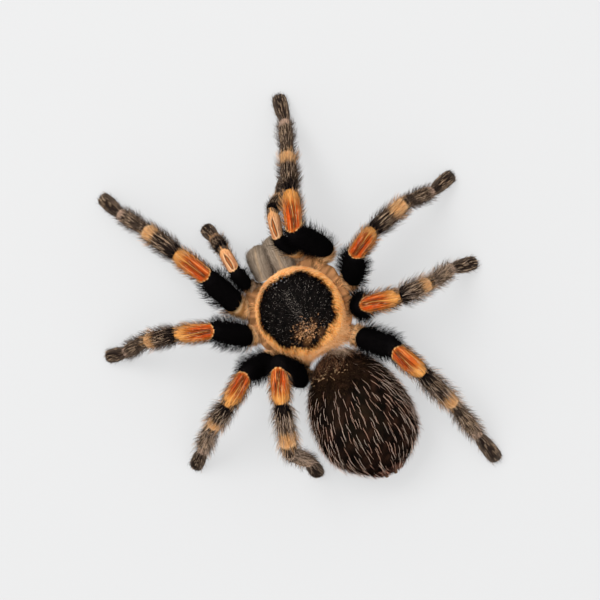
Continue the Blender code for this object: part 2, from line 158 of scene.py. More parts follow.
def read_limb(name, kind):
    """The limb's rings as centres, half widths and depths, and side and top axes, from its CAD nodes."""
    near = middle + np.array([0.0, 0.0, 0.006])
    rings = []
    for node in NODES_OF[kind]:
        more = node_rings(f"{name}_{node}", near)
        if rings:
            rings[-1] = np.concatenate([rings[-1], more[0]])
            more = more[1:]
        rings += more
        near = rings[-1].mean(0)
    centre = np.array([r.mean(0) for r in rings])
    ahead = unit(np.gradient(centre, axis=0))
    normal = np.empty_like(centre)
    for k, r in enumerate(rings):
        normal[k] = np.linalg.svd(r - r.mean(0))[2][2]
    normal *= np.sign((normal * ahead).sum(1))[:, None]
    toe = RINGS_OF[kind][TARSUS] + 1
    normal[toe:] = unit(centre[toe + 1] - centre[toe - 1])
    side = np.empty_like(centre)
    start = RINGS_OF[kind][PATELLA] + 2
    side[start] = unit(np.cross(normal[start], [0, 0, 1.0]))
    order = [(k, k - 1) for k in range(start + 1, len(rings))]
    for k, before in order + [(k, k + 1) for k in range(start - 1, -1, -1)]:
        side[k] = unit(side[before] - (side[before] @ normal[k]) * normal[k])
    top = np.cross(side, normal)
    half = np.empty((len(rings), 2))
    for k, r in enumerate(rings):
        for j, axis in enumerate((side[k], top[k])):
            reach = (r - centre[k]) @ axis
            half[k, j] = (reach.max() - reach.min()) / 2 / 0.966
            centre[k] += axis * (reach.max() + reach.min()) / 2
    return {"name": name, "kind": kind, "centre": centre, "side": side, "top": top, "half": half}


def spline(points, u):
    """A smooth curve through evenly counted points: u counts them, and each stretch is a cubic of its four
    nearest points."""
    u = np.clip(u, 0, len(points) - 1 - 1e-9)
    i = u.astype(int)
    f = (u - i)[..., None]
    p0 = points[np.maximum(i - 1, 0)]
    p1, p2 = points[i], points[i + 1]
    p3 = points[np.minimum(i + 2, len(points) - 1)]
    return p1 + 0.5 * f * (p2 - p0 + f * (2 * p0 - 5 * p1 + 4 * p2 - p3 + f * (3 * (p1 - p2) + p3 - p0)))


def bell(x, centre, width):
    """A smooth bump: 1 at the centre, about a third one width away, and next to nothing three widths away."""
    return np.exp(-(((x - centre) / width) ** 2))


def fit_limb(limb):
    """Adds the finer run of the skin: for many places along, the segment, how far along it, and the skin's
    half width and half depth, which are the solid's less the coat's depth and less a pinch at each joint."""
    marks = RINGS_OF[limb["kind"]]
    u, seg = [], []
    for i, count in enumerate(SKIN_RINGS):
        if marks[i + 1] > marks[i]:
            u.append(np.linspace(marks[i], marks[i + 1], count, endpoint=False))
            seg.append(np.full(count, i))
    u = np.append(np.concatenate(u), marks[-1])
    seg = np.append(np.concatenate(seg), TARSUS)
    run = spline(limb["centre"], u)
    arc = np.append(0, np.cumsum(np.linalg.norm(np.diff(run, axis=0), axis=1)))
    starts = np.interp(marks, u, arc)
    share = (arc - starts[seg]) / np.maximum(starts[seg + 1] - starts[seg], 1e-6)
    half = spline(limb["half"], u)
    depth = np.interp(u, (np.array(marks[:-1]) + np.array(marks[1:])) / 2, COAT_DEPTH)
    pinch = np.zeros_like(arc)
    for i in range(FEMUR, TARSUS + 1):
        if marks[i] > marks[i - 1]:
            pinch += 0.10 * bell(arc, starts[i], 0.42 * MM)
    tip = np.clip((arc[-1] - arc) / (1.0 * MM), 0, 1)
    half = (half - depth[:, None]) * (1 - pinch[:, None]) * np.sqrt(0.02 + 0.98 * tip * (2 - tip))[:, None]
    skin = np.maximum(half, 0.05 * MM)
    found = {"u": u, "seg": seg, "share": share, "arc": arc, "starts": starts, "skin": skin, "marks": marks}
    return {**limb, **found}


def oval_tube(centre, wide, deep, angle, side, top):
    """Points on a tube: each ring is an ellipse about its centre that reaches `wide` to either side along the
    side axis and `deep` up and down along the top axis."""
    return centre + (wide * np.cos(angle))[..., None] * side + (deep * np.sin(angle))[..., None] * top


def limb_surface(limb, u, angle):
    """Points on the limb's skin: an ellipse round the centre line at u, with the limb's top at 90 degrees."""
    wide = np.interp(u, limb["u"], limb["skin"][:, 0])
    deep = np.interp(u, limb["u"], limb["skin"][:, 1])
    centre, side, top = (spline(limb[key], u) for key in ("centre", "side", "top"))
    point = oval_tube(centre, wide, deep, angle, side, top)
    point[..., 2] = np.maximum(point[..., 2], 0.12 * MM)
    return point


limbs = [fit_limb(read_limb(f"leg_{n}_{side}", "leg")) for side in ("left", "right") for n in (1, 2, 3, 4)]
limbs += [fit_limb(read_limb(f"palp_{side}", "palp")) for side in ("left", "right")]


def mix(a, b, share):
    """Colour a turned into colour b by a share from 0 to 1."""
    share = np.clip(share, 0, 1)[..., None]
    return np.asarray(a) * (1 - share) + np.asarray(b) * share


def rise(x, low, high):
    """0 below low, 1 above high, and a smooth step between."""
    t = np.clip((x - low) / (high - low), 0, 1)
    return t * t * (3 - 2 * t)


def streaks(across, along, seed, width):
    """Uneven lines running along a limb: three waves across it, of about this width in degrees, that wander
    slowly along it. Between 0 and 1."""
    x = across / width
    slow, fast = 2.3 * seed + 2.0 * along, 0.7 * seed - 3.0 * along
    return 0.5 + (np.sin(2.1 * x + seed) + np.sin(3.7 * x + slow) + np.sin(5.3 * x + fast)) / 6


BLACK = (0.0040, 0.0034, 0.0036)
SOOT = (0.012, 0.0085, 0.0075)
UMBER = (0.033, 0.021, 0.015)
TAUPE = (0.130, 0.092, 0.064)
STRAW = (0.56, 0.36, 0.22)
PEACH = (0.88, 0.43, 0.15)
FLAME = (0.58, 0.066, 0.009)

# For each limb: how far the hip's tan runs onto the femur, where the orange starts and ends on the patella,
# where the cap starts and ends on the tibia, as shares of the segment, and how plain the spot by the toe is.
BAND_NAMES = ("hip_end", "orange_from", "orange_to", "cap_from", "cap_to", "spot")
BANDS = {
    "leg_1_left": (0.20, 0.03, 1.00, 0.68, 0.89, 0.9), "leg_1_right": (0.03, 0.10, 0.98, 0.68, 0.90, 0.9),
    "leg_2_left": (0.07, 0.06, 0.92, 0.66, 0.86, 0.35), "leg_2_right": (0.06, 0.01, 0.96, 0.62, 0.92, 0.7),
    "leg_3_left": (0.00, 0.11, 0.90, 0.62, 0.83, 0.5), "leg_3_right": (0.11, 0.08, 0.93, 0.66, 0.87, 0.5),
    "leg_4_left": (0.00, 0.21, 0.98, 0.62, 0.81, 0.3), "leg_4_right": (0.08, 0.13, 0.97, 0.72, 0.93, 0.3),
    "palp_left": (0.00, 0.11, 0.87, 0.70, 1.00, 0.0), "palp_right": (0.36, 0.08, 0.88, 0.70, 1.00, 0.0),
}
for index, limb in enumerate(limbs):
    limb["seed"] = 1.7 * index
    limb.update(zip(BAND_NAMES, BANDS[limb["name"]]))


def hip_tint(limb, share, off, fine):
    """Tan with dark lines, a pale ridge on top and dark folds near the body. A palp's is greyer, and a hip
    whose femur starts black darkens towards it."""
    tint = mix((1.0, 0.52, 0.21), (0.12, 0.045, 0.018), rise(fine, 0.50, 0.76))
    tint = mix(tint, (0.95, 0.62, 0.33), 0.9 * bell(share, 0.60, 0.16) * rise(-off, -110, -70))
    tint = mix(tint, (0.030, 0.015, 0.009), 0.9 * bell(share, 0.04, 0.10))
    tint = mix(tint, (0.050, 0.026, 0.016), 0.8 * bell(share - 0.1 * fine, 0.34, 0.05))
    if limb["kind"] == "palp":
        tint = mix(tint, (0.28, 0.21, 0.155), 0.7)
    return mix(tint, BLACK, 0.8 * rise(share, 0.93, 0.99) * (limb["hip_end"] < 0.02))


def femur_tint(limb, share, off):
    """Black past the hip's tan, which runs furthest along the top and ends in a pale edge."""
    base = limb["hip_end"] * (1 - 0.5 * rise(off, 30, 90))
    tan = mix((0.95, 0.66, 0.36), (0.62, 0.30, 0.10), rise(base - share, 0.02, 0.06))
    return mix(tan, BLACK, rise(share - base, -0.01, 0.015))


def leg_knee(on, aside, thin):
    """The orange of a leg's knee, with flame flanks, fine lines and two flame tears either side of its middle
    line, which widen and fade towards the far end. Also how strong the tears' dark rims are."""
    inner, outer = 2.5 + 7 * on, 11 + 13 * on
    early = rise(on, 0.02, 0.10)
    flanks = rise(aside - outer, 0, 5) * rise(-aside, -54, -40) * early * (1 - rise(on, 0.4, 0.75))
    tears = rise(aside - inner, 0, 3) * rise(outer - aside, 0, 3) * (1 - rise(on, 0.5, 0.85))
    tint = mix((0.50, 0.135, 0.022), (0.58, 0.235, 0.055), rise(on, 0.62, 0.88))
    tint = mix(tint, FLAME, 0.85 * flanks)
    tint = mix(tint, (0.86, 0.44, 0.13), 0.6 * rise(thin, 0.68, 0.84) * early)
    tint = mix(tint, (0.10, 0.024, 0.009), 0.8 * rise(-thin, -0.38, -0.22) * rise(-on, -0.93, -0.65))
    tint = mix(tint, (0.56, 0.075, 0.010), 0.9 * tears)
    tint = mix(tint, (0.78, 0.36, 0.09), 0.6 * rise(inner - aside, 0, 3) * early)
    rim = np.minimum(1.2 * (bell(aside, inner, 3.4) + bell(aside, outer, 3.6)), 1)
    return tint, rim * early * (1 - rise(on, 0.50, 0.85))


def palp_knee(on, aside, thin):
    """The peach of a palp's knee, with one rusty teardrop in a pale ring, and how strong its dark rim is."""
    ring = aside - 14 * np.sqrt(np.clip((on - 0.06) / 0.2, 0, 1)) * (1 - rise(on, 0.45, 0.80))
    late = rise(-on, -0.85, -0.6)
    tint = mix((0.46, 0.17, 0.07), (0.80, 0.45, 0.24), rise(thin, 0.45, 0.75))
    tint = mix(tint, PEACH, 0.4 * rise(on, 0.5, 0.9))
    tint = mix(tint, (0.40, 0.12, 0.035), rise(-ring, -2, 2) * late)
    tint = mix(tint, (0.95, 0.62, 0.33), 0.8 * rise(ring, 2, 5) * rise(-ring, -13, -9) * late)
    return tint, rise(4.5 - np.abs(ring), -2, 2) * rise(on, 0.05, 0.10) * late


def knee_tint(limb, share, across, fine, thin):
    """The knee's top in its own pattern, outlined in gold where it starts, up to a ragged edge that closes
    round both ends. Past the edge the flanks are black, then grey."""
    begin, end, seed = limb["orange_from"], limb["orange_to"], limb["seed"]
    off = np.abs(across)
    on = np.clip((share - begin) / (end - begin), 0, 1)
    near_end, far_end = (share - begin) / 0.08, (1.03 + 0.10 * (fine - 0.5) - on) / 0.13
    edge = 88 + 12 * (fine - 0.5) - 10 * rise(on, 0.75, 1.0)
    edge = edge * np.sqrt(np.clip(near_end, 0, 1) * np.clip(far_end, 0, 1)) - 8
    aside = np.abs(across - (3 + 11 * ((0.37 * seed) % 1)) * np.sin(3.8 * on + seed))
    if limb["kind"] == "palp":
        tint, rim = palp_knee(on, aside, thin)
        edge = edge - 24 * rise(on, 0.80, 0.95)
    else:
        tint, rim = leg_knee(on, aside, thin)
    tint = mix(tint, (0.016, 0.006, 0.005), 0.92 * rim)
    tint = mix(tint, (0.92, 0.54, 0.21), 0.95 * rise(off - edge, -17, -9) * rise(-on, -0.30, -0.14))
    tint = mix(tint, (0.50, 0.23, 0.065), 0.6 * rise(off - edge, -16, -4) * rise(on, 0.2, 0.35))
    flank = mix(BLACK, mix(UMBER, TAUPE, fine), rise(on, 0.1, 0.3))
    return mix(tint, flank, rise(off - edge, -3, 3))


def shin_tint(limb, share, off, fine, thin):
    """Black, then brown with pale lines, with a tan cap on top of the far third and greyer flanks."""
    begin, end = limb["cap_from"], limb["cap_to"]
    tint = mix(BLACK, UMBER, rise(share, 0.10, 0.5))
    tint = mix(tint, STRAW, 0.6 * rise(thin, 0.66, 0.84) * rise(share, 0.12, 0.4))
    tint = mix(tint, BLACK, 0.85 * bell(off, 13, 7.0) * rise(-share, -0.70, -0.5))
    cap = rise(share + 0.20 * (fine - 0.5), begin - 0.07, begin + 0.08)
    cap = cap * rise(-off, -100, -70) * rise(end - share, -0.02, 0.02)
    tan = mix((0.34, 0.165, 0.070), (0.72, 0.38, 0.155), rise(thin, 0.35, 0.75))
    tan = mix(tan, (0.95, 0.62, 0.34), 0.8 * rise(share, end - 0.07, end - 0.02))
    tan = mix(tan, (0.84, 0.33, 0.06), 0.55 * bell(off, 0, 26))
    if limb["kind"] == "palp":
        tan = mix(tan, (0.26, 0.18, 0.13), 0.65)
    tint = mix(tint, tan, 0.95 * cap)
    tint = mix(tint, (0.050, 0.034, 0.025), rise(share, end + 0.005, end + 0.03))
    return mix(tint, mix(SOOT, TAUPE, fine), rise(off, 66, 92) * rise(share, 0.1, 0.4) * (1 - 0.6 * cap))


def foot_tint(limb, share, across, fine, thin):
    """Grey-brown with pale lines, black where it starts and with a pale spot on top near the toe. On the
    third legs and the left fourth it is streaked more boldly."""
    tint = mix((0.062, 0.043, 0.032), TAUPE, 0.9 * rise(fine, 0.40, 0.80))
    tint = mix(tint, BLACK, 0.5 * rise(-share, -0.12, -0.02))
    tint = mix(tint, STRAW, 0.6 * rise(thin, 0.66, 0.86))
    spot = limb["spot"] * (0.45 + 0.55 * rise(thin, 0.3, 0.6))
    tint = mix(tint, (0.66, 0.42, 0.29), spot * rise(share, 0.74, 0.90) * rise(-np.abs(across), -72, -32))
    bold = 0.8 * (limb["name"] == "leg_4_left") + 0.3 * (limb["name"][4] == "3")
    pale = rise(streaks(across, share, limb["seed"] + 3.1, 4.0), 0.40, 0.62)
    return mix(tint, mix((0.20, 0.135, 0.095), (0.92, 0.66, 0.48), pale), bold)


def toe_tint(share, off, fine, thin):
    """A near-black stripe along the top, grey-brown flanks, a few pale lines and a paler tip."""
    tint = mix((0.022, 0.015, 0.012), (0.098, 0.071, 0.053), rise(off + 16 * (fine - 0.5), 18, 62))
    tint = mix(tint, STRAW, 0.45 * rise(thin, 0.74, 0.9) * rise(-share, -0.8, -0.4))
    return mix(tint, (0.088, 0.068, 0.054), 0.7 * rise(share, 0.72, 0.92))


def limb_tint(limb, seg, share, angle):
    """The limb's markings, from its segments' own. Across runs from -180 to 180 degrees with 0 on top, and
    the fine and thin lines are the same on all the segments."""
    across = np.degrees(np.arctan2(np.cos(angle), np.sin(angle)))
    off = np.abs(across)
    fine = streaks(across, share, limb["seed"], 9.0)
    thin = streaks(across + 4 * share, share, limb["seed"] + 1.3, 5.5)
    hip = hip_tint(limb, share, off, fine)
    knee = knee_tint(limb, share, across, fine, thin)
    shin = shin_tint(limb, share, off, fine, thin)
    foot = foot_tint(limb, share, across, fine, thin)
    femur, toe = femur_tint(limb, share, off), toe_tint(share, off, fine, thin)
    table = np.stack([hip, hip, femur, knee, shin, foot, toe])
    return np.take_along_axis(table, np.broadcast_to(seg[None, ..., None], (1, *seg.shape, 3)), axis=0)[0]


def closed_grid(points, tint, spot, under=None, under_rows=0):
    """The arrays of a closed surface from a grid of points that closes round in its columns, with a pole in
    the middle of each end ring. spot is the place of each point on the unwrap, with one column more, for the
    far side of the seam. The first rows of faces can take their places from another such grid, under."""
    rows, cols = points.shape[:2]
    r, c = np.meshgrid(np.arange(rows - 1), np.arange(cols), indexing="ij")
    d = (c + 1) % cols
    quads = np.stack([r * cols + c, r * cols + d, (r + 1) * cols + d, (r + 1) * cols + c], -1).reshape(-1, 4)
    places = np.stack([spot[r, c], spot[r, c + 1], spot[r + 1, c + 1], spot[r + 1, c]], 2)
    start = spot
    if under is not None:
        start = under
        lower = np.stack([under[r, c], under[r, c + 1], under[r + 1, c + 1], under[r + 1, c]], 2)
        places = np.where((r < under_rows)[..., None, None], lower, places)
    c, d = c[0], d[0]
    first, last = rows * cols + 0 * c, (rows - 1) * cols
    fans = np.concatenate([np.stack([first, d, c], -1), np.stack([first + 1, last + c, last + d], -1)])
    near = (start[0, c] + start[0, c + 1]) / 2 + (start[0, c] - start[1, c]) / 2
    far = (spot[-1, c] + spot[-1, c + 1]) / 2 + (spot[-1, c] - spot[-2, c]) / 2
    near_fan = np.stack([near, start[0, c + 1], start[0, c]], 1)
    fan_places = np.concatenate([near_fan, np.stack([far, spot[-1, c], spot[-1, c + 1]], 1)])
    co = np.concatenate([points.reshape(-1, 3), points[[0, -1]].mean(1)])
    tint = np.concatenate([tint.reshape(-1, 3), tint[[0, -1]].mean(1)])
    return co, tint, [quads, fans], [places.reshape(-1, 4, 2), fan_places]


def joined(grids):
    """Several closed surfaces as the arrays of one."""
    counts = np.append(0, np.cumsum([len(g[0]) for g in grids]))
    return (np.concatenate([g[0] for g in grids]), np.concatenate([g[1] for g in grids]),
            [np.concatenate([g[2][k] + n for g, n in zip(grids, counts)]) for k in (0, 1)],
            [np.concatenate([g[3][k] for g in grids]) for k in (0, 1)])


def lattice(rows, cols, low=0.0, high=1.0):
    """Shares along and angles round for a closed grid, with the places of its points and of its seam's far
    side as shares of the unwrap."""
    run, angle = np.meshgrid(np.linspace(low, high, rows), 2 * np.pi * np.arange(cols) / cols, indexing="ij")
    u, v = np.meshgrid(np.linspace(0, 1, rows), np.linspace(0, 1, cols + 1), indexing="ij")
    return run, angle, np.stack([0.03 + 0.94 * u, 0.03 + 0.94 * v], -1)


def solid(name, co, tint, faces, places, finish, where="root"):
    """A mesh object from arrays: points, a colour for each, lists of faces of one size each, and the places
    of the faces' corners on the unwrap. Faces are turned outwards if the whole encloses less than nothing."""
    volume = sum(
        np.einsum("ij,ij->i", co[f[:, 0]], np.cross(co[f[:, j]], co[f[:, j + 1]])).sum()
        for f in faces
        for j in range(1, f.shape[1] - 1)
    )
    if volume < 0:
        faces = [f[:, ::-1] for f in faces]
        places = [p[:, ::-1] for p in places]
    corner = np.concatenate([f.ravel() for f in faces]).astype(np.int32)
    sizes = np.concatenate([np.full(len(f), f.shape[1]) for f in faces])
    mesh = bpy.data.meshes.new(name)
    mesh.vertices.add(len(co))
    mesh.vertices.foreach_set("co", np.ascontiguousarray(co, dtype=np.float32).ravel())
    mesh.loops.add(len(corner))
    mesh.loops.foreach_set("vertex_index", corner)
    mesh.polygons.add(len(sizes))
    mesh.polygons.foreach_set("loop_start", np.append(0, np.cumsum(sizes)[:-1]).astype(np.int32))
    mesh.update(calc_edges=True)
    mesh.shade_smooth()
    layer = mesh.attributes.new("tint", "FLOAT_COLOR", "POINT")
    layer.data.foreach_set("color", np.c_[tint, np.ones(len(tint))].astype(np.float32).ravel())
    layer = mesh.uv_layers.new(name="OFBake")
    spots = np.clip(np.concatenate([p.reshape(-1, 2) for p in places]), 0.001, 0.999)
    layer.data.foreach_set("uv", spots.astype(np.float32).ravel())
    mesh.materials.append(finish)
    item = bpy.data.objects.new(name, mesh)
    bpy.context.scene.collection.objects.link(item)
    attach(item, where)
    return item


def finish_of(name, rough, grain=0.0, grain_size=0.2 * MM, shine=0.4, vary=0.15):
    """A material whose colour is the mesh's own tint, made a little uneven, with a fine bumpy grain."""
    made = bpy.data.materials.new(name)
    made.use_nodes = True
    tree = made.node_tree
    shader = tree.nodes["Principled BSDF"]
    shader.inputs["Roughness"].default_value = rough
    shader.inputs["Specular IOR Level"].default_value = shine
    tint = tree.nodes.new("ShaderNodeAttribute")
    tint.attribute_name = "tint"
    place = tree.nodes.new("ShaderNodeTexCoord")
    noise = tree.nodes.new("ShaderNodeTexNoise")
    noise.inputs["Scale"].default_value = 1 / (2.2 * MM)
    noise.inputs["Detail"].default_value = 3
    tree.links.new(place.outputs["Object"], noise.inputs["Vector"])
    spread = tree.nodes.new("ShaderNodeMapRange")
    spread.inputs["To Min"].default_value = 1 - vary
    spread.inputs["To Max"].default_value = 1 + vary
    tree.links.new(noise.outputs["Fac"], spread.inputs["Value"])
    scaled = tree.nodes.new("ShaderNodeVectorMath")
    scaled.operation = "SCALE"
    tree.links.new(tint.outputs["Color"], scaled.inputs[0])
    tree.links.new(spread.outputs["Result"], scaled.inputs["Scale"])
    tree.links.new(scaled.outputs["Vector"], shader.inputs["Base Color"])
    if grain:
        pores = tree.nodes.new("ShaderNodeTexNoise")
        pores.inputs["Scale"].default_value = 1 / grain_size
        pores.inputs["Detail"].default_value = 2
        tree.links.new(place.outputs["Object"], pores.inputs["Vector"])
        bump = tree.nodes.new("ShaderNodeBump")
        bump.inputs["Strength"].default_value = grain
        bump.inputs["Distance"].default_value = grain_size * 0.5
        tree.links.new(pores.outputs["Fac"], bump.inputs["Height"])
        tree.links.new(bump.outputs["Normal"], shader.inputs["Normal"])
    return made


skin_finish = finish_of("skin", 0.75, grain=0.5, grain_size=0.14 * MM, shine=0.0)
hair_finish = finish_of("hair", 0.6, shine=0.0, vary=0.10)
shell_finish = finish_of("shell", 0.6, grain=0.35, grain_size=0.22 * MM, shine=0.02)

skin_parts = []


def patch(index, spot):
    """The places of one part of the skin, in a 4 by 3 table on the whole skin's unwrap."""
    return (np.array([index % 4, index // 4]) + spot) / [4, 3]


# The columns are closer on top, where the markings are.
around = 2 * np.pi * np.arange(ROUND + 1) / ROUND
around = around + np.sin(2 * around) / 6
for index, limb in enumerate(limbs):
    u, angle = np.meshgrid(limb["u"], around[:-1], indexing="ij")
    seg = np.broadcast_to(limb["seg"][:, None], u.shape)
    share = np.broadcast_to(limb["share"][:, None], u.shape)
    tint = 0.75 * limb_tint(limb, seg, share, angle)
    spot = np.meshgrid(limb["u"] / limb["u"].max(), around / (2 * np.pi), indexing="ij")
    spot = 0.03 + 0.94 * np.stack(spot, -1)
    skin_parts.append(closed_grid(limb_surface(limb, u, angle), tint, patch(index, spot)))

# ======================================================================= belly sac and breastplate
# The soft egg-shaped sac hangs from a thin waist. Its skin is dark brown, olive in the middle and coppery in
# front. Two short spinnerets stand at the tail. The breastplate lies between the hips below.
SAC_LENGTH, SAC_WIDTH, SAC_DEPTH = 32.2 * MM, 25.4 * MM, 19.0 * MM
SAC_START = middle + np.array([-1.3, 13.1, 0.0]) * MM
SAC_TURN = math.radians(6)
SAC_COAT = 0.55 * MM
sac_along = np.array([math.sin(SAC_TURN), math.cos(SAC_TURN), 0.0])
sac_across = np.array([math.cos(SAC_TURN), -math.sin(SAC_TURN), 0.0])
UP = np.array([0.0, 0.0, 1.0])


def sac_surface(along, angle):
    """Points on the sac: along runs from 0 at the waist to 1 at the tail as a half turn, and each ring is an
    ellipse, fatter towards the tail, about a line that lifts in the middle."""
    half_turn = np.pi * along
    share = (1 - np.cos(half_turn)) / 2
    fat = np.sin(half_turn) ** 0.82 * (1 + 0.2 * (share - 0.5)) * (1 - 0.10 * bell(share, 0.96, 0.1))
    lift = (9.2 + 2.4 * np.sin(np.pi * np.minimum(share * 1.1, 1) ** 0.9) - 1.4 * share**3) * MM
    wide, deep = (np.maximum(size / 2 * fat - SAC_COAT, 0.02 * MM) for size in (SAC_WIDTH, SAC_DEPTH))
    centre = SAC_START + (SAC_COAT + share * (SAC_LENGTH - 2 * SAC_COAT))[..., None] * sac_along
    return oval_tube(centre + lift[..., None] * UP, wide, deep, angle, sac_across, UP)


def cloud(p, size, seed):
    """A soft uneven field over space, of about this grain size. Between 0 and 1."""
    x, y, z = (p[..., i] / size for i in range(3))
    v = np.sin(x + 1.3 * np.sin(y * 0.8 + seed) + seed)
    v = v + np.sin(1.7 * y + 1.1 * np.sin(x * 1.3 + z) + 2 * seed)
    return np.clip(0.5 + (v + np.sin(1.9 * z + x - y + 3 * seed)) / 5, 0, 1)


def sac_tint(point, along, angle):
    """Brown-black, with an olive patch on top past the middle and a rusty one in front."""
    up = np.sin(angle)
    tint = mix((0.0025, 0.0019, 0.0018), (0.013, 0.0068, 0.0045), cloud(point, 1.7 * MM, 1.0) ** 1.5)
    tint = mix(tint, (0.040, 0.017, 0.010), 0.4 * rise(cloud(point, 0.9 * MM, 9.0), 0.6, 0.9))
    olive = bell(along, 0.50, 0.13) * rise(up, 0.75, 0.97)
    tint = mix(tint, (0.014, 0.0105, 0.0060), 0.5 * olive * cloud(point, 1.4 * MM, 4.0))
    rust = (1 - rise(along, 0.22, 0.36)) * rise(up, 0.2, 0.8)
    return mix(tint, (0.040, 0.018, 0.009), 0.4 * rust * (0.4 + 0.6 * cloud(point, 1.1 * MM, 2.0)))


run, angle, spot = lattice(90, 96, 0.03, 0.985)
points = sac_surface(run, angle)
skin_parts.append(closed_grid(points, sac_tint(points, run, angle), patch(10, spot)))

# The waist is a thin brown tube from under the shield into the sac.
run, angle, spot = lattice(12, 20)
waist_from = middle + np.array([0, 6.6, 6.5]) * MM
waist_to = SAC_START + np.array([0, 1.4, 9.3]) * MM
radius = (0.75 + 0.9 * np.clip(run - 0.7, 0, 1)) * MM
centre = waist_from + run[..., None] * (waist_to - waist_from)
points = oval_tube(centre, radius, radius, angle, np.array([1.0, 0.0, 0.0]), UP)
tint = np.broadcast_to((0.12, 0.07, 0.04), points.shape)
skin_parts.append(closed_grid(points, tint, patch(11, 0.25 * spot)))

# Each spinneret is a short two-jointed finger.
for side in (1, -1):
    run, angle, spot = lattice(16, 20)
    centre = SAC_START + (SAC_LENGTH + (4.0 * run - 3.2) * MM)[..., None] * sac_along
    centre = centre + (side * (1.5 - 0.3 * run) * MM)[..., None] * sac_across
    centre = centre + ((7.4 + 1.2 * run) * MM)[..., None] * UP
    radius = 0.72 * MM * np.sqrt(np.clip(1 - 0.75 * run**2.2, 0.05, 1)) * (1 - 0.12 * bell(run, 0.45, 0.06))
    points = oval_tube(centre, radius, radius, angle, sac_across, UP)
    tint = np.broadcast_to((0.10, 0.055, 0.032), points.shape)
    skin_parts.append(closed_grid(points, tint, patch(11, 0.25 * spot + [0, 0.5 + 0.2 * side])))

# The breastplate is an oval cushion with a lip that runs forward under the jaws.
run, angle, spot = lattice(20, 48)
x, y = np.sin(angle), -np.cos(angle)
lip = 3.4 * MM * bell(x, 0, 0.22) * (y < 0)
reach = 0.97 * np.sqrt(np.clip(1 - (1 - np.clip(run * 2.2, 0, 1)) ** 2, 0.02, 1)) * (1 - 0.1 * run**6)
x, y = 3.7 * MM * reach * x, -0.5 * MM + (5.9 * MM + lip) * reach * y
points = np.stack([x, y, (3.8 + 4.0 * run) * MM], -1) + middle
tint = mix((0.012, 0.009, 0.008), (0.05, 0.03, 0.02), cloud(points, 1.0 * MM, 6.0))
skin_parts.append(closed_grid(points, tint, patch(11, 0.6 * spot + [0.35, 0.2])))

# Soft folded skin joins the hips to each other under the shield's rim: an oval that is drawn out between the
# front hips and let in at the jaws and at the waist.
run, angle, spot = lattice(16, 120)
angle = (angle + np.pi) % (2 * np.pi) - np.pi
oval = 1 / np.hypot(np.sin(angle) / 12.9, np.cos(angle) / 12.6)
oval = oval + 2.0 * bell(np.abs(angle), 0.70, 0.16) + 0.8 * bell(np.abs(angle), 1.16, 0.14)
oval = oval - 2.6 * bell(angle, 0, 0.42) - 2.2 * bell(np.abs(angle), np.pi, 0.40)
reach = oval * MM * np.sqrt(np.clip(1 - (2 * run - 1) ** 2, 0.02, 1)) ** 0.6
points = np.stack([reach * np.sin(angle), -reach * np.cos(angle), (4.8 + 3.6 * run) * MM], -1) + middle
folds = 0.25 + 0.75 * rise(streaks(np.degrees(angle), 2 * run, 0.6, 3.0), 0.30, 0.75)
# Pale folds only on the upper part; lower down it stays dark, painted shade under the shield's rim.
tint = mix((0.10, 0.045, 0.020), (0.52, 0.25, 0.105), folds * rise(run, 0.3, 0.6))
skin_parts.append(closed_grid(points, tint, patch(11, 0.3 * spot + [0.35, 0.0])))

skin = solid("skin", *joined(skin_parts), skin_finish)
flesh = [f"{limb['name']}_{node}" for limb in limbs for node in NODES_OF[limb["kind"]]]
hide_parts("abdomen", "sternum", *flesh)

# ======================================================================= carapace
# One hard domed shield over the front half: velvet black in the middle, with a pit behind, furrows that run
# out to the legs, a raised head region in front with the eye mound on it, and a broad tan border.
SHIELD_LENGTH, SHIELD_WIDTH = 23.8 * MM, 22.4 * MM
RIM, CROWN = 8.2 * MM, 13.0 * MM
MOUND_AHEAD, MOUND_RISE = 8.6 * MM, 1.1 * MM
PIT_BEHIND = 3.2 * MM
SHELL_COAT, EDGE_COAT = 0.22 * MM, 0.30 * MM
# Each furrow's direction, in degrees from straight ahead of the pit, and its width in degrees.
FURROWS = ((31, 4), (62, 5), (92, 5), (122, 6), (150, 7))


def shield_edge(angle):
    """How far the rim is from the middle in each direction; the angle is 0 at the front."""
    x, y = np.sin(angle), -np.cos(angle)
    oval = 1 / np.hypot(2 * x / SHIELD_WIDTH, 2 * y / SHIELD_LENGTH)
    front = (SHIELD_LENGTH / 2 + 0.3 * MM) / np.maximum(-y, 1e-6)
    bay = 0.9 * MM * bell(np.abs(angle), np.pi, 0.4)
    return (oval**-24 + front**-24) ** (-1 / 24) - bay


def shield_height(x, y):
    """Height of the shield: a dome, with the head region and the eye mound raised on it, and with the pit and
    the shallow furrows sunk in it."""
    angle = np.arctan2(x, -y)
    share = np.minimum(1, np.hypot(x, y) / shield_edge(angle))
    height = RIM + 1.0 * MM + (CROWN - RIM - 1.4 * MM) * (1 - share**2.6) ** 0.75
    height = height + 0.8 * MM * bell(x, 0, 4.6 * MM) * bell(y, -5 * MM, 5.2 * MM) * (1 - share**6)
    height = height - 0.7 * MM * bell(x, 0, 1.6 * MM) * bell(y, PIT_BEHIND, 1.1 * MM)
    height = height + MOUND_RISE * bell(x, 0, 2.1 * MM) * bell(y, -MOUND_AHEAD, 1.3 * MM)
    turn = np.degrees(np.arctan2(np.abs(x), PIT_BEHIND - y))
    away = np.hypot(x, y - PIT_BEHIND)
    furrow = sum(bell(turn, at, wide) for at, wide in FURROWS)
    furrow = furrow * rise(away, 1.2 * MM, 3.0 * MM) * (1 - rise(share, 0.72, 0.9))
    return height - 0.16 * MM * furrow


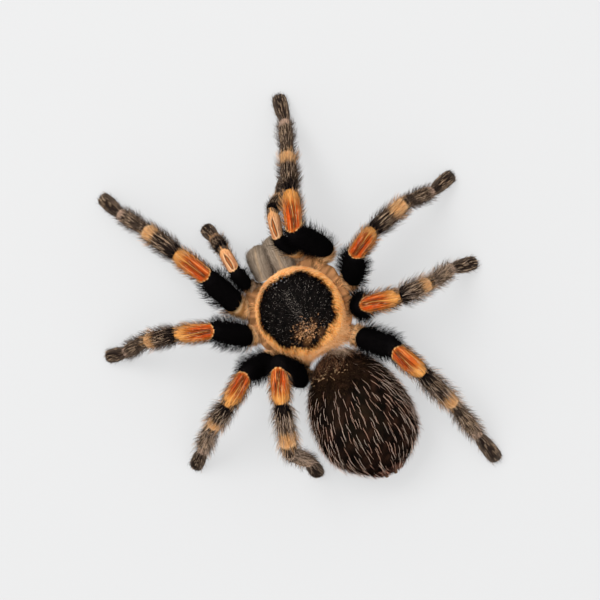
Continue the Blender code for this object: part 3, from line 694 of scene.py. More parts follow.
def shield_tint(x, y):
    """A round black middle, rusty at the back, in a tan border that is paler outwards and in front. The black
    runs out over the border in fine streaks."""
    angle = np.arctan2(x, -y)
    share = np.hypot(x, y) / shield_edge(angle)
    point = np.stack([x, y, 0 * x], -1)
    inner = np.hypot(x - 0.2 * MM, y + 0.8 * MM)
    ragged = (streaks(np.degrees(angle), 2 * share, 0.4, 1.6) - 0.5) * 1.3 * MM
    ragged = ragged + (cloud(point, 1.5 * MM, 3.0) - 0.5) * 0.8 * MM
    border = rise(inner + ragged, 9.1 * MM, 9.8 * MM)
    tint = mix((0.0012, 0.0010, 0.0010), (0.0045, 0.0034, 0.0030), cloud(point, 0.5 * MM, 1.0))
    rusty = bell(x, 0.6 * MM, 3.0 * MM) * bell(y, 6.3 * MM, 2.4 * MM)
    tint = mix(tint, (0.20, 0.085, 0.028), 0.6 * rusty * rise(cloud(point, 0.7 * MM, 5.0), 0.3, 0.8))
    fibre = rise(streaks(np.degrees(angle) + 60 * share, share, 1.4, 1.7), 0.3, 0.7)
    dark = rise(cloud(point, 0.55 * MM, 8.0), 0.55, 0.8) * (1 - rise(share, 0.84, 0.94))
    rim = mix((0.80, 0.235, 0.042), (1.0, 0.52, 0.17), fibre)
    rim = mix(rim, (0.16, 0.050, 0.014), 0.6 * dark)
    rim = mix(rim, (0.97, 0.56, 0.26), 0.6 * rise(share, 0.90, 0.97) * fibre)
    rim = mix(rim, (0.93, 0.58, 0.32), 0.6 * rise(-y, 5 * MM, 11 * MM) * fibre)
    return mix(tint, rim, border)


SPOKES = 144
shares = np.concatenate([[0.90, 0.965, 1.0, 1.0, 0.99], np.linspace(0.975, 0.012, 76)])
share, angle = np.meshgrid(shares, 2 * np.pi * np.arange(SPOKES + 1) / SPOKES - np.pi, indexing="ij")
ray = np.stack([np.sin(angle), -np.cos(angle)], -1)
shell_spot = 0.5 + 0.48 * share[..., None] * ray
under_spot = [0.93, 0.07] + 0.055 * (np.linspace(0, 1, len(shares)) * 20)[:, None, None] * ray
reach = (shield_edge(angle) - EDGE_COAT) * share
x, y = (reach[..., None] * ray)[:, :-1].transpose(2, 0, 1)
z = shield_height(x, y) - SHELL_COAT
z[0], z[1], z[2] = RIM + 0.25 * MM, RIM + 0.02 * MM, RIM + 0.12 * MM
z[3] = (z[2] + z[4]) / 2
points = np.stack([x, y, z], -1) + middle
grid = closed_grid(points, shield_tint(x, y), shell_spot, under_spot, 3)
shell = solid("carapace_shell", *grid, shell_finish)
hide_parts("carapace")

# ======================================================================= chelicerae and fangs
# Two stout grey-brown paws that bulge forward from under the shield, swung a little to the spider's right.
# The right one is the larger. Each has a glossy black fang folded back beneath it.
JAW_TURN = math.radians(11)
JAW_BASE = middle + np.array([0.42, -12.2, 6.8]) * MM
JAW_LENGTH, JAW_WIDE, JAW_DEEP, FANG_LENGTH = 6.7 * MM, 2.56 * MM, 2.6 * MM, 5.6 * MM
jaw_ahead = np.array([-math.sin(JAW_TURN), -math.cos(JAW_TURN), 0.0])
jaw_left = np.array([math.cos(JAW_TURN), -math.sin(JAW_TURN), 0.0])


def jaw_surface(side, run, angle, inset=0.10 * MM):
    """Points on a chelicera: rings that droop as they run forward and close in a round end. A run below 0 is
    the root, which goes back under the shield."""
    root, run = np.minimum(run, 0), np.maximum(run, 0)
    bigger = 1.16 if side < 0 else 1.0
    droop = np.radians(62) * run**1.6
    ahead = JAW_LENGTH * bigger * (0.86 * np.sin(np.pi * run / 2) + root)
    lift = (0.5 * np.sin(np.pi * run) - 2.0 * run**2) * MM
    apart = JAW_WIDE * bigger - 0.65 * MM * run**2
    centre = JAW_BASE + ahead[..., None] * jaw_ahead + (side * apart)[..., None] * jaw_left
    centre = centre + lift[..., None] * UP
    top = np.sin(droop)[..., None] * jaw_ahead + np.cos(droop)[..., None] * UP
    size = 0.86 + 0.18 * np.sin(np.pi * np.minimum(run, 0.6) / 1.2)
    size = size * np.sqrt(1 - 0.68 * np.clip((run - 0.6) / 0.4, 0, 1) ** 2)
    wide, deep = JAW_WIDE * bigger * size - inset, JAW_DEEP * size - inset
    last = np.sqrt(np.clip((1.0 - run) / 0.08, 0.02, 1))
    return oval_tube(centre, wide * last, deep * last, angle, jaw_left, top)


def jaw_tint(run, angle, seed):
    """Taupe with pale lines along it, one broad tan stripe, and darker flanks."""
    across = np.degrees(np.arctan2(np.cos(angle), np.sin(angle)))
    fine = streaks(across, run, seed, 10.0)
    finer = streaks(across - 9 * run, run, seed + 2.2, 4.0)
    pale = 0.5 * rise(fine, 0.2, 0.9) + 0.5 * rise(finer, 0.3, 0.7)
    tint = mix((0.17, 0.128, 0.094), (0.34, 0.265, 0.195), pale)
    tint = mix(tint, (0.50, 0.34, 0.20), 0.45 * bell(across + 20 * run, 12, 7) * rise(-run, -0.8, -0.5))
    return mix(tint, (0.085, 0.062, 0.048), rise(np.abs(across), 66, 105))


fang_finish = finish_of("fang", 0.22, grain=0.15, grain_size=0.3 * MM, shine=0.5)
for name, side in (("left", 1), ("right", -1)):
    run, angle, spot = lattice(52, 56, -0.22, 1)
    grid = closed_grid(jaw_surface(side, run, angle), jaw_tint(run, angle, 2.0 * side), spot)
    jaw = solid(f"jaw_{name}", *grid, skin_finish)
    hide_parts(f"chelicera_{name}")
    run, angle, spot = lattice(28, 20)
    bend = np.radians(115) * run**0.8
    bow = FANG_LENGTH * 0.42
    ahead = JAW_LENGTH * 0.66 - bow * (1 - np.cos(bend))
    centre = JAW_BASE + ahead[..., None] * jaw_ahead + side * (JAW_WIDE + 0.15 * MM) * jaw_left
    centre = centre + (-1.9 * MM - bow * np.sin(bend))[..., None] * UP
    top = np.cos(bend)[..., None] * jaw_ahead + np.sin(bend)[..., None] * UP
    thick = 0.66 * MM * (1 - run) ** 0.6 * (1 - 0.2 * run) + 0.03 * MM
    points = oval_tube(centre, thick, thick, angle, jaw_left, top)
    tint = mix((0.075, 0.018, 0.010), (0.008, 0.006, 0.006), rise(run, 0.0, 0.35))
    fang = solid(f"fang_{name}", *closed_grid(points, tint, spot), fang_finish)

# ======================================================================= eyes
# Eight small glassy domes set in the mound near the shield's front edge, the front middle pair round, the
# rest oval. The middle pair behind is faintly amber, the others are black.
glass = finish_of("eye_glass", 0.06, shine=0.8, vary=0.02)
for name, amber in (("front_middle", 0), ("front_side", 0), ("rear_middle", 1), ("rear_side", 1)):
    for hand in ("left", "right"):
        node = f"eye_{name}_{hand}"
        mesh = bpy.data.objects[node].data
        co = np.empty(len(mesh.vertices) * 3)
        mesh.vertices.foreach_get("co", co)
        co = np.unique(np.round(co.reshape(-1, 3), 7), axis=0)
        low, high = co.min(0), co.max(0)
        centre = (low + high) / 2
        axes = np.linalg.svd(co - centre, full_matrices=False)[2]
        reach = np.abs((co - centre) @ axes.T).max(0)
        run, angle, spot = lattice(20, 28, 0.02 * np.pi, 0.98 * np.pi)
        ball = np.stack([np.sin(run) * np.cos(angle), np.sin(run) * np.sin(angle), np.cos(run)], -1)
        points = centre + (ball * reach) @ axes
        tint = mix((0.006, 0.006, 0.008), (0.16, 0.10, 0.045), np.full(points.shape[:2], 0.12 * amber))
        eye = solid(f"{node}_lens", *closed_grid(points, tint, spot), glass)
        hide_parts(node)

# ======================================================================= coat of the limbs
# Every hair is a thin three-sided spike rooted in the skin that leans along the limb towards the toe. Femora
# are velvet black, knees short and orange, shins and feet carry pale lines, and long thin bristles stand out.
rng = np.random.default_rng(11)

# A hair's three corners, how strongly its normals turn towards the skin's, how deep its root is, and how close
# to the floor it may come.
CORNERS = np.radians([[90], [210], [330]])
LIFT = 1.2
SUNK, LOWEST = 0.06 * MM, 0.03 * MM


def hairs(root, out, lie, length, width, lean, curl, wave, tint, joints):
    """Solid hairs as arrays. A hair sets off from its root at `lean` above the lie direction, bends down by
    `curl` towards its tip and sways sideways by `wave`; it is widest near the root and ends in a point. One
    number can stand for all the hairs. Gives points, their normals turned a little towards the skin's,
    triangles, quads, colours and, for each point, its hair and how far along it stands."""
    n = len(root)
    measures = (length, width, lean, curl, wave)
    length, width, lean, curl, wave = (np.broadcast_to(measure, n)[:, None] for measure in measures)
    root, out = root[:, None], out[:, None]
    lie = unit(lie[:, None] - (lie[:, None] * out).sum(-1, keepdims=True) * out)
    side = np.cross(lie, out)
    t = np.arange(joints) / joints
    slope = (lean - curl * np.linspace(0, 1, joints))[..., None]
    sway = wave * np.sin(rng.uniform(0, 6.28, (n, 1)) + rng.uniform(3, 7, (n, 1)) * t)
    step = unit(np.cos(slope) * lie + np.sin(slope) * out + sway[..., None] * side)
    step = step * (length / joints)[..., None]
    spine = root - SUNK * out + np.concatenate([np.zeros((n, 1, 3)), np.cumsum(step, 1)], 1)
    top = unit(np.cross(side, step))
    ring = np.cos(CORNERS) * side[:, None] + np.sin(CORNERS) * top[:, :, None]
    thick = width / 2 * (1 - t**1.6 * 0.75)
    body = spine[:, :joints, None] + thick[..., None, None] * ring
    co = np.concatenate([body.reshape(n, -1, 3), spine[:, -1:]], 1)
    co[..., 2] = np.maximum(co[..., 2], LOWEST)
    face = unit(np.concatenate([ring.reshape(n, -1, 3), step[:, -1:]], 1))
    face = unit(face + LIFT * out)
    each = 3 * joints + 1
    first = (np.arange(n) * each)[:, None, None]
    side_face = np.array([[0, 1, 4, 3], [1, 2, 5, 4], [2, 0, 3, 5]])
    quads = (3 * np.arange(joints - 1)[:, None, None] + side_face).reshape(-1, 4)
    tris = np.array([[0, 1, 3], [1, 2, 3], [2, 0, 3]]) + 3 * (joints - 1)
    tris = np.concatenate([tris, [[2, 1, 0]]])
    far = np.append(np.repeat(t, 3), 1.0)
    # Each hair darkens towards its root: painted shade where the hairs crowd over the skin.
    shade = (0.70 + 0.42 * far)[None, :, None] * tint[:, None]
    tris, quads = (tris + first).reshape(-1, 3), (quads + first).reshape(-1, 4)
    hair = np.repeat(np.arange(n), each)
    return co.reshape(-1, 3), face.reshape(-1, 3), tris, quads, shade.reshape(-1, 3), hair, np.tile(far, n)


def coat(name, lots):
    """One coat piece from several lots of hairs, each (root, out, lie, length, width, lean, curl, wave, tint,
    joints, place of the root on the unwrap). Each hair is a patch 0.003 across there."""
    co, normals, tints, tris, quads, tri_spots, quad_spots = [], [], [], [], [], [], []
    first = 0
    for *shape, place in lots:
        c, normal, t, q, s, hair, far = hairs(*shape)
        corner = np.tile(np.append(np.tile([0.0, 1.0, 2.0], shape[-1]) / 2 - 0.5, 0.0), len(place))
        spots = place[hair] + 0.003 * np.stack([corner, far - 0.5], -1)
        co.append(c)
        normals.append(normal)
        tints.append(s)
        tris.append(t + first)
        quads.append(q + first)
        tri_spots.append(spots[t])
        quad_spots.append(spots[q])
        first += len(c)
    faces = [np.concatenate(tris), np.concatenate(quads)]
    places = [np.concatenate(tri_spots), np.concatenate(quad_spots)]
    piece = solid(name, np.concatenate(co), np.concatenate(tints), faces, places, hair_finish)
    piece.data.normals_split_custom_set_from_vertices(np.concatenate(normals))
    return piece


def limb_roots(limb, count, weight):
    """Random places on the limb, as many to each stretch as its area times its segment's weight."""
    ring = np.pi * (limb["skin"].sum(1))
    area = ring[:-1] * np.diff(limb["arc"]) * np.asarray(weight)[limb["seg"][:-1]]
    pick = rng.choice(len(area), count, p=area / area.sum())
    f = rng.random(count)
    u = limb["u"][pick] + f * (limb["u"][pick + 1] - limb["u"][pick])
    seg = limb["seg"][pick]
    ends = np.where(limb["seg"][pick + 1] == seg, limb["share"][pick + 1], 1.0)
    return u, seg, np.clip(limb["share"][pick] + f * (ends - limb["share"][pick]), 0, 1)


def limb_frame(limb, u, angle):
    """Root points, outward normals and directions towards the toe, from small steps over the skin."""
    here = limb_surface(limb, u, angle)
    du, da = 0.02, 0.01
    ahead = limb_surface(limb, u + du, angle) - limb_surface(limb, u - du, angle)
    round_it = limb_surface(limb, u, angle + da) - limb_surface(limb, u, angle - da)
    out = unit(np.cross(ahead, round_it))
    outward = here - spline(limb["centre"], u)
    out *= np.sign((out * outward).sum(1) + 1e-12)[:, None]
    return here, out, unit(ahead)


def limb_lot(limb, u, seg, angle, length, width, lean, curl, wave, tint, joints, stray, over):
    """A lot of hairs on a limb at these places, which stray a little from the way to the toe. None reaches
    further than `over` past the end of its own segment."""
    root, out, lie = limb_frame(limb, u, angle)
    lie = unit(lie + stray * rng.standard_normal(root.shape))
    left = limb["starts"][seg + 1] - np.interp(u, limb["u"], limb["arc"])
    length = np.minimum(length, np.maximum(left, 0) + over)
    place = 0.03 + 0.94 * np.stack([u / limb["u"].max(), (angle / (2 * np.pi)) % 1], -1)
    return root, out, lie, length, width, lean, curl, wave, tint, joints, place


def choose(mask, yes, no):
    """Colour `yes` where the mask holds and colour `no` elsewhere."""
    return np.where(mask[:, None], yes, no)


def laid(lean, seg, angle):
    """The lean of hairs that stand off, made less on top of the femur, knee and shin, where they lie flat."""
    on_top = (seg > TROCHANTER) & (seg < METATARSUS) & (np.sin(angle) > 0.5)
    return lean * np.where(on_top, 0.4, 1.0)


def flanks_of(count, low, spread):
    """Angles near the limb's two flanks, half on each, with their middle this far above the side."""
    angle = rng.normal(low, spread, count)
    return np.where(rng.random(count) < 0.5, angle, np.pi - angle)


# For each segment from hip to toe: the close coat's share, length and lean, then the fuzz's and the bristles'
# shares and lengths, and the streaks' shares on a leg and on a palp.
CLOSE_SHARE = (1.2, 1.2, 0.45, 1.35, 1.0, 1.0, 1.25)
CLOSE_LENGTH = np.array([1.3, 1.3, 1.0, 0.62, 0.85, 0.8, 0.7]) * MM
CLOSE_LEAN = np.radians([30, 30, 28, 12, 14, 13, 14])
FUZZ_SHARE = (4.2, 4.2, 1.3, 1.2, 1.3, 1.1, 0.5)
FUZZ_LENGTH = np.array([2.3, 2.3, 1.7, 1.7, 2.0, 1.8, 1.0]) * MM
BRISTLE_SHARE = (1.0, 1.0, 2.4, 1.4, 1.7, 1.4, 0.35)
BRISTLE_LENGTH = np.array([1.8, 2.2, 3.5, 2.3, 2.7, 2.5, 1.3]) * MM
STREAK_SHARE = {
    "leg": np.array([0, 0, 0, 0.15, 1.3, 1.2, 0.4]),
    "palp": np.array([0, 0, 0, 0.2, 0.9, 0, 0.6]),
}
CLOSE_COUNT, FUZZ_COUNT = {"leg": 8800, "palp": 4300}, {"leg": 3500, "palp": 1500}
STREAK_COUNT, BRISTLE_COUNT = {"leg": 1400, "palp": 420}, {"leg": 1800, "palp": 500}


def close_hair(limb):
    """Short hair all over, lying down, each hair in the colour of the skin under its own middle."""
    count = CLOSE_COUNT[limb["kind"]]
    u, seg, share = limb_roots(limb, count, CLOSE_SHARE)
    angle = rng.uniform(0, 2 * np.pi, count)
    length = CLOSE_LENGTH[seg] * limb["small"] * rng.uniform(0.7, 1.3, count)
    seen = np.minimum(share + 0.5 * length / limb["span"][seg], 1.0)
    tint = limb_tint(limb, seg, seen, angle) * rng.uniform(0.75, 1.35, (count, 1))
    lean = CLOSE_LEAN[seg] * rng.uniform(0.6, 1.5, count)
    return limb_lot(limb, u, seg, angle, length, 0.092 * MM, lean, 0.0, 0.1, tint, 1, 0.12, 0.3 * MM)


def fuzz(limb):
    """Longer fine hair that stands off the flanks in greys, and all round the hips and the black femur. On
    the two rear legs a part of it is pale."""
    count = FUZZ_COUNT[limb["kind"]]
    u, seg, share = limb_roots(limb, count, FUZZ_SHARE)
    angle = flanks_of(count, -0.05, 0.5)
    angle = np.where(seg <= FEMUR, rng.uniform(0, 2 * np.pi, count), angle)
    length = FUZZ_LENGTH[seg] * limb["small"] * rng.uniform(0.5, 1.2, count)
    own = limb_tint(limb, seg, np.minimum(share + 0.5 * length / limb["span"][seg], 1.0), angle)
    grey = mix((0.016, 0.011, 0.009), (0.17, 0.12, 0.088), rng.random(count) ** 1.4)
    pale = limb["rear"] & (seg >= TIBIA) & (rng.random(count) < 0.22)
    grey = mix(choose(pale, (0.50, 0.34, 0.24), grey), own, 0.6 * (np.sin(angle) > 0.3) + 0.25)
    black = mix(own, BLACK, rise(share, limb["hip_end"] - 0.02, limb["hip_end"] + 0.06))
    tint = choose(seg == FEMUR, black, choose(seg < FEMUR, own, grey))
    tint = choose((seg == PATELLA) & (share < limb["orange_from"]), BLACK, tint)
    tint = tint * rng.uniform(0.6, 1.3, (count, 1))
    lean = np.radians(rng.uniform(22, 50, count) + 16 * ((seg > FEMUR) & (seg < TARSUS)))
    lean = laid(lean, seg, angle)
    return limb_lot(limb, u, seg, angle, length, 0.068 * MM, lean, 0.35 * lean, 0.12, tint, 2, 0.2, 0.6 * MM)


def streak_hair(limb):
    """Long hair that lies flat on top in pale and dark lines, gold on the shin's cap and pale on the foot's
    spot."""
    count, leg = STREAK_COUNT[limb["kind"]], limb["kind"] == "leg"
    bold = limb["name"] == "leg_4_left"
    u, seg, share = limb_roots(limb, count, STREAK_SHARE[limb["kind"]] + bold * (np.arange(7) == METATARSUS))
    angle = np.pi / 2 + rng.normal(0, 0.75, count)
    length = rng.uniform(1.2, 2.2, count) * MM * limb["small"] * np.where(seg == PATELLA, 0.6, 1)
    across = np.degrees(np.arctan2(np.cos(angle), np.sin(angle)))
    fine = streaks(across, share, limb["seed"], 9.0)
    pale = mix(STRAW, (0.90, 0.64, 0.42), rng.random(count)) * rng.uniform(0.6, 1.15, (count, 1))
    between = 0.06 + (0.25 + 0.15 * bold) * (limb["rear"] & (seg == METATARSUS))
    chance = np.where(fine > 0.60, 0.6, between) * rise(share, 0.05, 0.25)
    tint = choose(rng.random(count) < chance, pale, mix(BLACK, UMBER, rng.random(count)))
    capped = (seg == TIBIA) & (share > limb["cap_from"] - 0.12) & (share < limb["cap_to"] - 0.06)
    within = (limb["cap_to"] + 0.02 - share) * limb["span"][TIBIA]
    length = np.where(capped, np.minimum(length, within), length)
    gold = mix((0.32, 0.16, 0.07), (0.85, 0.52, 0.26), rng.random(count)) * rng.uniform(0.7, 1.1, (count, 1))
    tint = choose(capped & leg, gold, tint)
    spotted = (seg == METATARSUS) & (share > 0.66) & (rng.random(count) < 0.4 + 0.5 * limb["spot"])
    tint = choose(spotted, mix((0.30, 0.20, 0.15), (0.80, 0.55, 0.40), rng.random(count)), tint)
    lean = np.radians(rng.uniform(6, 15, count))
    return limb_lot(limb, u, seg, angle, length, 0.072 * MM, lean, lean, 0.12, tint, 2, 0.04, 0.3 * MM)


def bristles(limb):
    """Long thin hair that stands well off the flanks, and one in five from the top: black on the femur, some
    peach on the knee, the cap and the hip, and dark or grey elsewhere."""
    count = BRISTLE_COUNT[limb["kind"]]
    u, seg, share = limb_roots(limb, count, BRISTLE_SHARE)
    angle = flanks_of(count, 0.05, 0.55)
    angle = np.where(rng.random(count) < 0.2, rng.uniform(0.3, 2.8, count), angle)
    longer = np.where(limb["rear"] & (seg > PATELLA), 1.15, 1.0)
    length = BRISTLE_LENGTH[seg] * limb["small"] * longer * rng.uniform(0.6, 1.25, count)
    tint = mix((0.012, 0.009, 0.007), (0.20, 0.14, 0.105), rng.random(count) ** 2.0)
    tint = choose(limb["rear"] & (seg >= TIBIA) & (rng.random(count) < 0.3), (0.55, 0.40, 0.30), tint)
    tint = choose((seg == FEMUR) | ((seg == PATELLA) & (share < limb["orange_from"])), BLACK, tint)
    capped = (seg == TIBIA) & (share > limb["cap_from"] - 0.08) & (share < limb["cap_to"])
    hip = (seg < FEMUR) | ((seg == FEMUR) & (share < limb["hip_end"]))
    lit = capped | ((seg == PATELLA) & (share > 0.3)) | hip
    lit = lit & (rng.random(count) < np.where(seg < PATELLA, 0.8, 0.45))
    tint = choose(lit, mix((0.34, 0.19, 0.10), PEACH, rng.random(count)), tint)
    lean = laid(np.radians(rng.uniform(34, 62, count) + 10 * (seg == FEMUR)), seg, angle)
    width, over = np.where(seg == FEMUR, 0.08, 0.072) * MM, np.where(lit, 0.6, 1.6) * MM
    return limb_lot(limb, u, seg, angle, length, width, lean, 0.5 * lean, 0.1, tint, 3, 0.12, over)


for limb in limbs:
    limb["rear"] = limb["name"][4] in "34"
    limb["small"] = 0.75 if limb["kind"] == "palp" else 1.0
    limb["span"] = np.diff(limb["starts"])
    makers = (close_hair, fuzz, streak_hair, bristles)
    coat(f"coat_{limb['name']}", [make(limb) for make in makers])

# ======================================================================= coat of the belly sac
# A dark close coat, with long cream hairs lying back over it one by one, wavy and clear of each other, and
# short coppery ones in front, the most vivid of them painted glints of light. A scruffy tuft hides the
# spinnerets.


def sac_frame(along, angle):
    """Root points, outward normals and directions towards the tail on the sac."""
    here = sac_surface(along, angle)
    ahead = sac_surface(along + 0.004, angle) - sac_surface(along - 0.004, angle)
    round_it = sac_surface(along, angle + 0.01) - sac_surface(along, angle - 0.01)
    out = unit(np.cross(ahead, round_it))
    centre = SAC_START + ((here - SAC_START) @ sac_along)[:, None] * sac_along + 10.5 * MM * UP
    out *= np.sign((out * (here - centre)).sum(1) + 1e-12)[:, None]
    return here, out, unit(ahead)


def sac_roots(count, low=0.04, high=0.97):
    """Random places on the sac, evenly spread over its area."""
    along = rng.uniform(low, high, 3 * count)
    keep = rng.random(3 * count) < np.sin(np.pi * along) ** 1.7 + 0.03
    along = along[keep][:count]
    return along, rng.uniform(0, 2 * np.pi, len(along))


def sac_place(along, angle):
    """Places on the sac's unwrap: along by round."""
    return 0.03 + 0.94 * np.stack([along, (angle / (2 * np.pi)) % 1], -1)


# The close coat, all over.
lots = []
along, angle = sac_roots(10500)
root, out, lie = sac_frame(along, angle)
n = len(along)
tint = sac_tint(root, along, angle) * rng.uniform(0.4, 1.6, (n, 1))
lie = unit(lie + 0.15 * rng.standard_normal((n, 3)))
lean = np.radians(rng.uniform(14, 38, n) + 28 * (rng.random(n) < 0.25))
length = rng.uniform(0.8, 1.7, n) * MM
lots.append((root, out, lie, length, 0.10 * MM, lean, 0.3, 0.2, tint, 2, sac_place(along, angle)))
coat("coat_sac", lots)

# The cream hairs keep clear of each other: their places run evenly over the sac, and stray only a little.
lots = []
even = np.modf(np.arange(560)[:, None] * [0.7548776662, 0.5698402910])[0]
even = even + 0.012 * rng.standard_normal(even.shape)
steps = np.linspace(0.12, 0.965, 200)
area = np.cumsum(np.sin(np.pi * steps) ** 1.7 + 0.05)
along = np.interp(even[:, 0], area / area[-1], steps)
angle = 2 * np.pi * even[:, 1]
keep = ~((along < 0.29) & (np.sin(angle) > 0.4))
along, angle = along[keep], angle[keep]
root, out, lie = sac_frame(along, angle)
n = len(along)
tint = mix((0.85, 0.48, 0.34), (1.0, 0.80, 0.66), rng.random(n)) * rng.uniform(0.8, 1.0, (n, 1))
length = rng.uniform(2.4, 4.4, n) * MM
lean, curl = np.radians(rng.uniform(18, 32, n)), np.radians(rng.uniform(20, 32, n))
wave = rng.uniform(0.06, 0.28, n)
lots.append((root, out, lie, length, 0.062 * MM, lean, curl, wave, tint, 6, sac_place(along, angle)))

# In front the hair is short, brown and coppery, and stands up towards the shield.
along, angle = sac_roots(2100, 0.03, 0.36)
angle = np.pi / 2 + rng.normal(0, 0.85, len(along))
root, out, lie = sac_frame(along, angle)
n = len(along)
lie = unit(lie + 0.6 * rng.standard_normal((n, 3)))
# The vivid copper hairs are painted glints: light caught by the coppery hair, painted into their colour.
painted_glint = rng.random(n) < 0.45 * bell(along, 0.15, 0.07) * rise(np.cos(angle), -0.6, 0.2)
brown = mix((0.004, 0.003, 0.002), (0.085, 0.045, 0.020), rng.random(n) ** 4)
tint = choose(painted_glint, (1.0, 0.62, 0.33), brown) * rng.uniform(0.45, 0.98, (n, 1))
short, long = rng.uniform(0.7, 1.1, n), rng.uniform(0.8, 1.3, n) + 1.0 - rise(along, 0.06, 0.22)
length, width = np.where(painted_glint, short, long) * MM, np.where(painted_glint, 0.13, 0.11) * MM
lean = np.radians(np.where(painted_glint, 55.0, rng.uniform(20, 62, n)))
lots.append((root, out, lie, length, width, lean, 0.3, 0.3, tint, 2, sac_place(along, angle)))

# A ruff of brown and peach hair stands forward and outward round the waist.
n = 2200
along = rng.uniform(0.02, 0.22, n)
angle = np.where(rng.random(n) < 0.6, rng.uniform(-0.6, 1.9, n), rng.uniform(-np.pi, np.pi, n))
root, out, lie = sac_frame(along, angle)
lie = unit(0.25 * rng.standard_normal((n, 3)) - lie)
tint = mix((0.006, 0.004, 0.003), (0.26, 0.12, 0.06), rng.random(n) ** 5)
length, lean = rng.uniform(1.4, 3.4, n) * MM, np.radians(rng.uniform(15, 60, n))
lots.append((root, out, lie, length, 0.10 * MM, lean, 0.5, 0.4, tint, 3, sac_place(along, angle)))

# On the spider's right a paler lock fills the hollow between the shield and the last leg.
n = 420
along = rng.uniform(0.02, 0.15, n)
angle = rng.uniform(1.9, 3.3, n)
root, out, lie = sac_frame(along, angle)
lie = unit(0.35 * rng.standard_normal((n, 3)) - lie + [-0.3, 0.0, 0.0])
tint = mix((0.10, 0.065, 0.045), (0.62, 0.42, 0.28), rng.random(n))
length, lean = rng.uniform(2.6, 5.0, n) * MM, np.radians(rng.uniform(10, 45, n))
lots.append((root, out, lie, length, 0.09 * MM, lean, 0.6, 0.4, tint, 4, sac_place(along, angle)))

# A rumpled tuft hides the spinnerets.
n = 2200
along = rng.uniform(0.88, 0.985, n)
angle = np.pi / 2 + rng.normal(0, 1.2, n)
root, out, lie = sac_frame(along, angle)
inward = -np.sign(np.cos(angle))[:, None] * sac_across
lie = unit(lie + 1.2 * sac_along + 0.25 * inward + 0.5 * rng.standard_normal((n, 3)))
tint = mix((0.006, 0.003, 0.003), (0.62, 0.30, 0.20), rng.random(n) ** 6)
length, lean = rng.uniform(1.0, 2.6, n) * MM, np.radians(rng.uniform(5, 50, n))
lots.append((root, out, lie, length, 0.12 * MM, lean, 0.2, 0.7, tint, 4, sac_place(along, angle)))

# Fine pale down stands off the flanks.
along, angle = sac_roots(900, 0.10, 0.95)
n = len(along)
left_flank = rng.random(n) < 0.5
angle = np.where(left_flank, rng.normal(0.05, 0.3, n), np.pi + rng.normal(-0.05, 0.3, n))
root, out, lie = sac_frame(along, angle)
tint = mix((0.06, 0.04, 0.03), (0.50, 0.36, 0.28), rng.random(n) ** 1.5)
lie = unit(lie + 0.25 * rng.standard_normal((n, 3)))
length, lean = rng.uniform(1.6, 3.0, n) * MM, np.radians(rng.uniform(28, 58, n))
lots.append((root, out, lie, length, 0.055 * MM, lean, 0.4, 0.2, tint, 3, sac_place(along, angle)))
coat("coat_sac_long", lots)

# ======================================================================= coat of the carapace and jaws
# The shield's border is a mat of tan and peach hair combed outwards. The middle has sparse grey flecks,
# which are painted glints of light on the black velvet, with coppery ones behind, and a tangled peach fringe
# sweeps back over the waist. The jaws' hair lies forward in pale lines.


def shield_frame(x, y):
    """Root points, outward normals and directions away from the pit on the shield."""
    d = 0.05 * MM
    z = shield_height(x, y) - SHELL_COAT
    gx = (shield_height(x + d, y) - shield_height(x - d, y)) / (2 * d)
    gy = (shield_height(x, y + d) - shield_height(x, y - d)) / (2 * d)
    out = unit(np.stack([-gx, -gy, np.ones_like(x)], -1))
    away = unit(np.stack([x, y - PIT_BEHIND, 0 * x], -1))
    return np.stack([x, y, z], -1) + middle, out, away


def shield_roots(count, inner, outer):
    """Random places on the shield between two shares of the way to its rim, evenly spread over the area."""
    angle = rng.uniform(-np.pi, np.pi, count)
    share = np.sqrt(rng.uniform(inner**2, outer**2, count))
    reach = (shield_edge(angle) - EDGE_COAT) * share
    return reach * np.sin(angle), -reach * np.cos(angle), angle, share


def shield_place(angle, share):
    """Places on the shell's round unwrap."""
    return np.stack([0.5 + 0.48 * share * np.sin(angle), 0.5 - 0.48 * share * np.cos(angle)], -1)


def swept(x, y, away, back):
    """Directions round the rim towards the back, turning outwards and straight back by these shares."""
    round_it = np.sign(x)[:, None] * np.stack([-away[:, 1], away[:, 0], 0 * x], -1)
    behind = rise(y, 3 * MM, 9 * MM)[:, None]
    return unit(round_it * (1 - behind) + away * (back + 0.5 * behind) + np.array([0, 0.6, 0]) * behind)


# The border's mat.
lots = []
x, y, angle, share = shield_roots(6500, 0.74, 0.985)
root, out, away = shield_frame(x, y)
n = len(x)
lie = unit(swept(x, y, away, 0.45) + 0.25 * rng.standard_normal((n, 3)))
tint = np.minimum(shield_tint(x, y) * rng.uniform(0.8, 2.0, (n, 1)), [1.0, 0.62, 0.30])
length, lean = rng.uniform(0.7, 1.3, n) * MM, np.radians(rng.uniform(8, 24, n))
lots.append((root, out, lie, length, 0.10 * MM, lean, 0.35, 0.3, tint, 2, shield_place(angle, share)))

# Short velvet over the middle, clear of the eyes.
x, y, angle, share = shield_roots(3600, 0.02, 0.86)
keep = np.hypot(x, y + MOUND_AHEAD) > 1.9 * MM
x, y, angle, share = x[keep], y[keep], angle[keep], share[keep]
root, out, away = shield_frame(x, y)
n = len(x)
tint = np.minimum(shield_tint(x, y), 0.25) * rng.uniform(0.6, 1.3, (n, 1))
lie = unit(away + 0.5 * rng.standard_normal((n, 3)))
length, lean = rng.uniform(0.45, 0.8, n) * MM, np.radians(rng.uniform(12, 35, n))
lots.append((root, out, lie, length, 0.085 * MM, lean, 0, 0.2, tint, 1, shield_place(angle, share)))
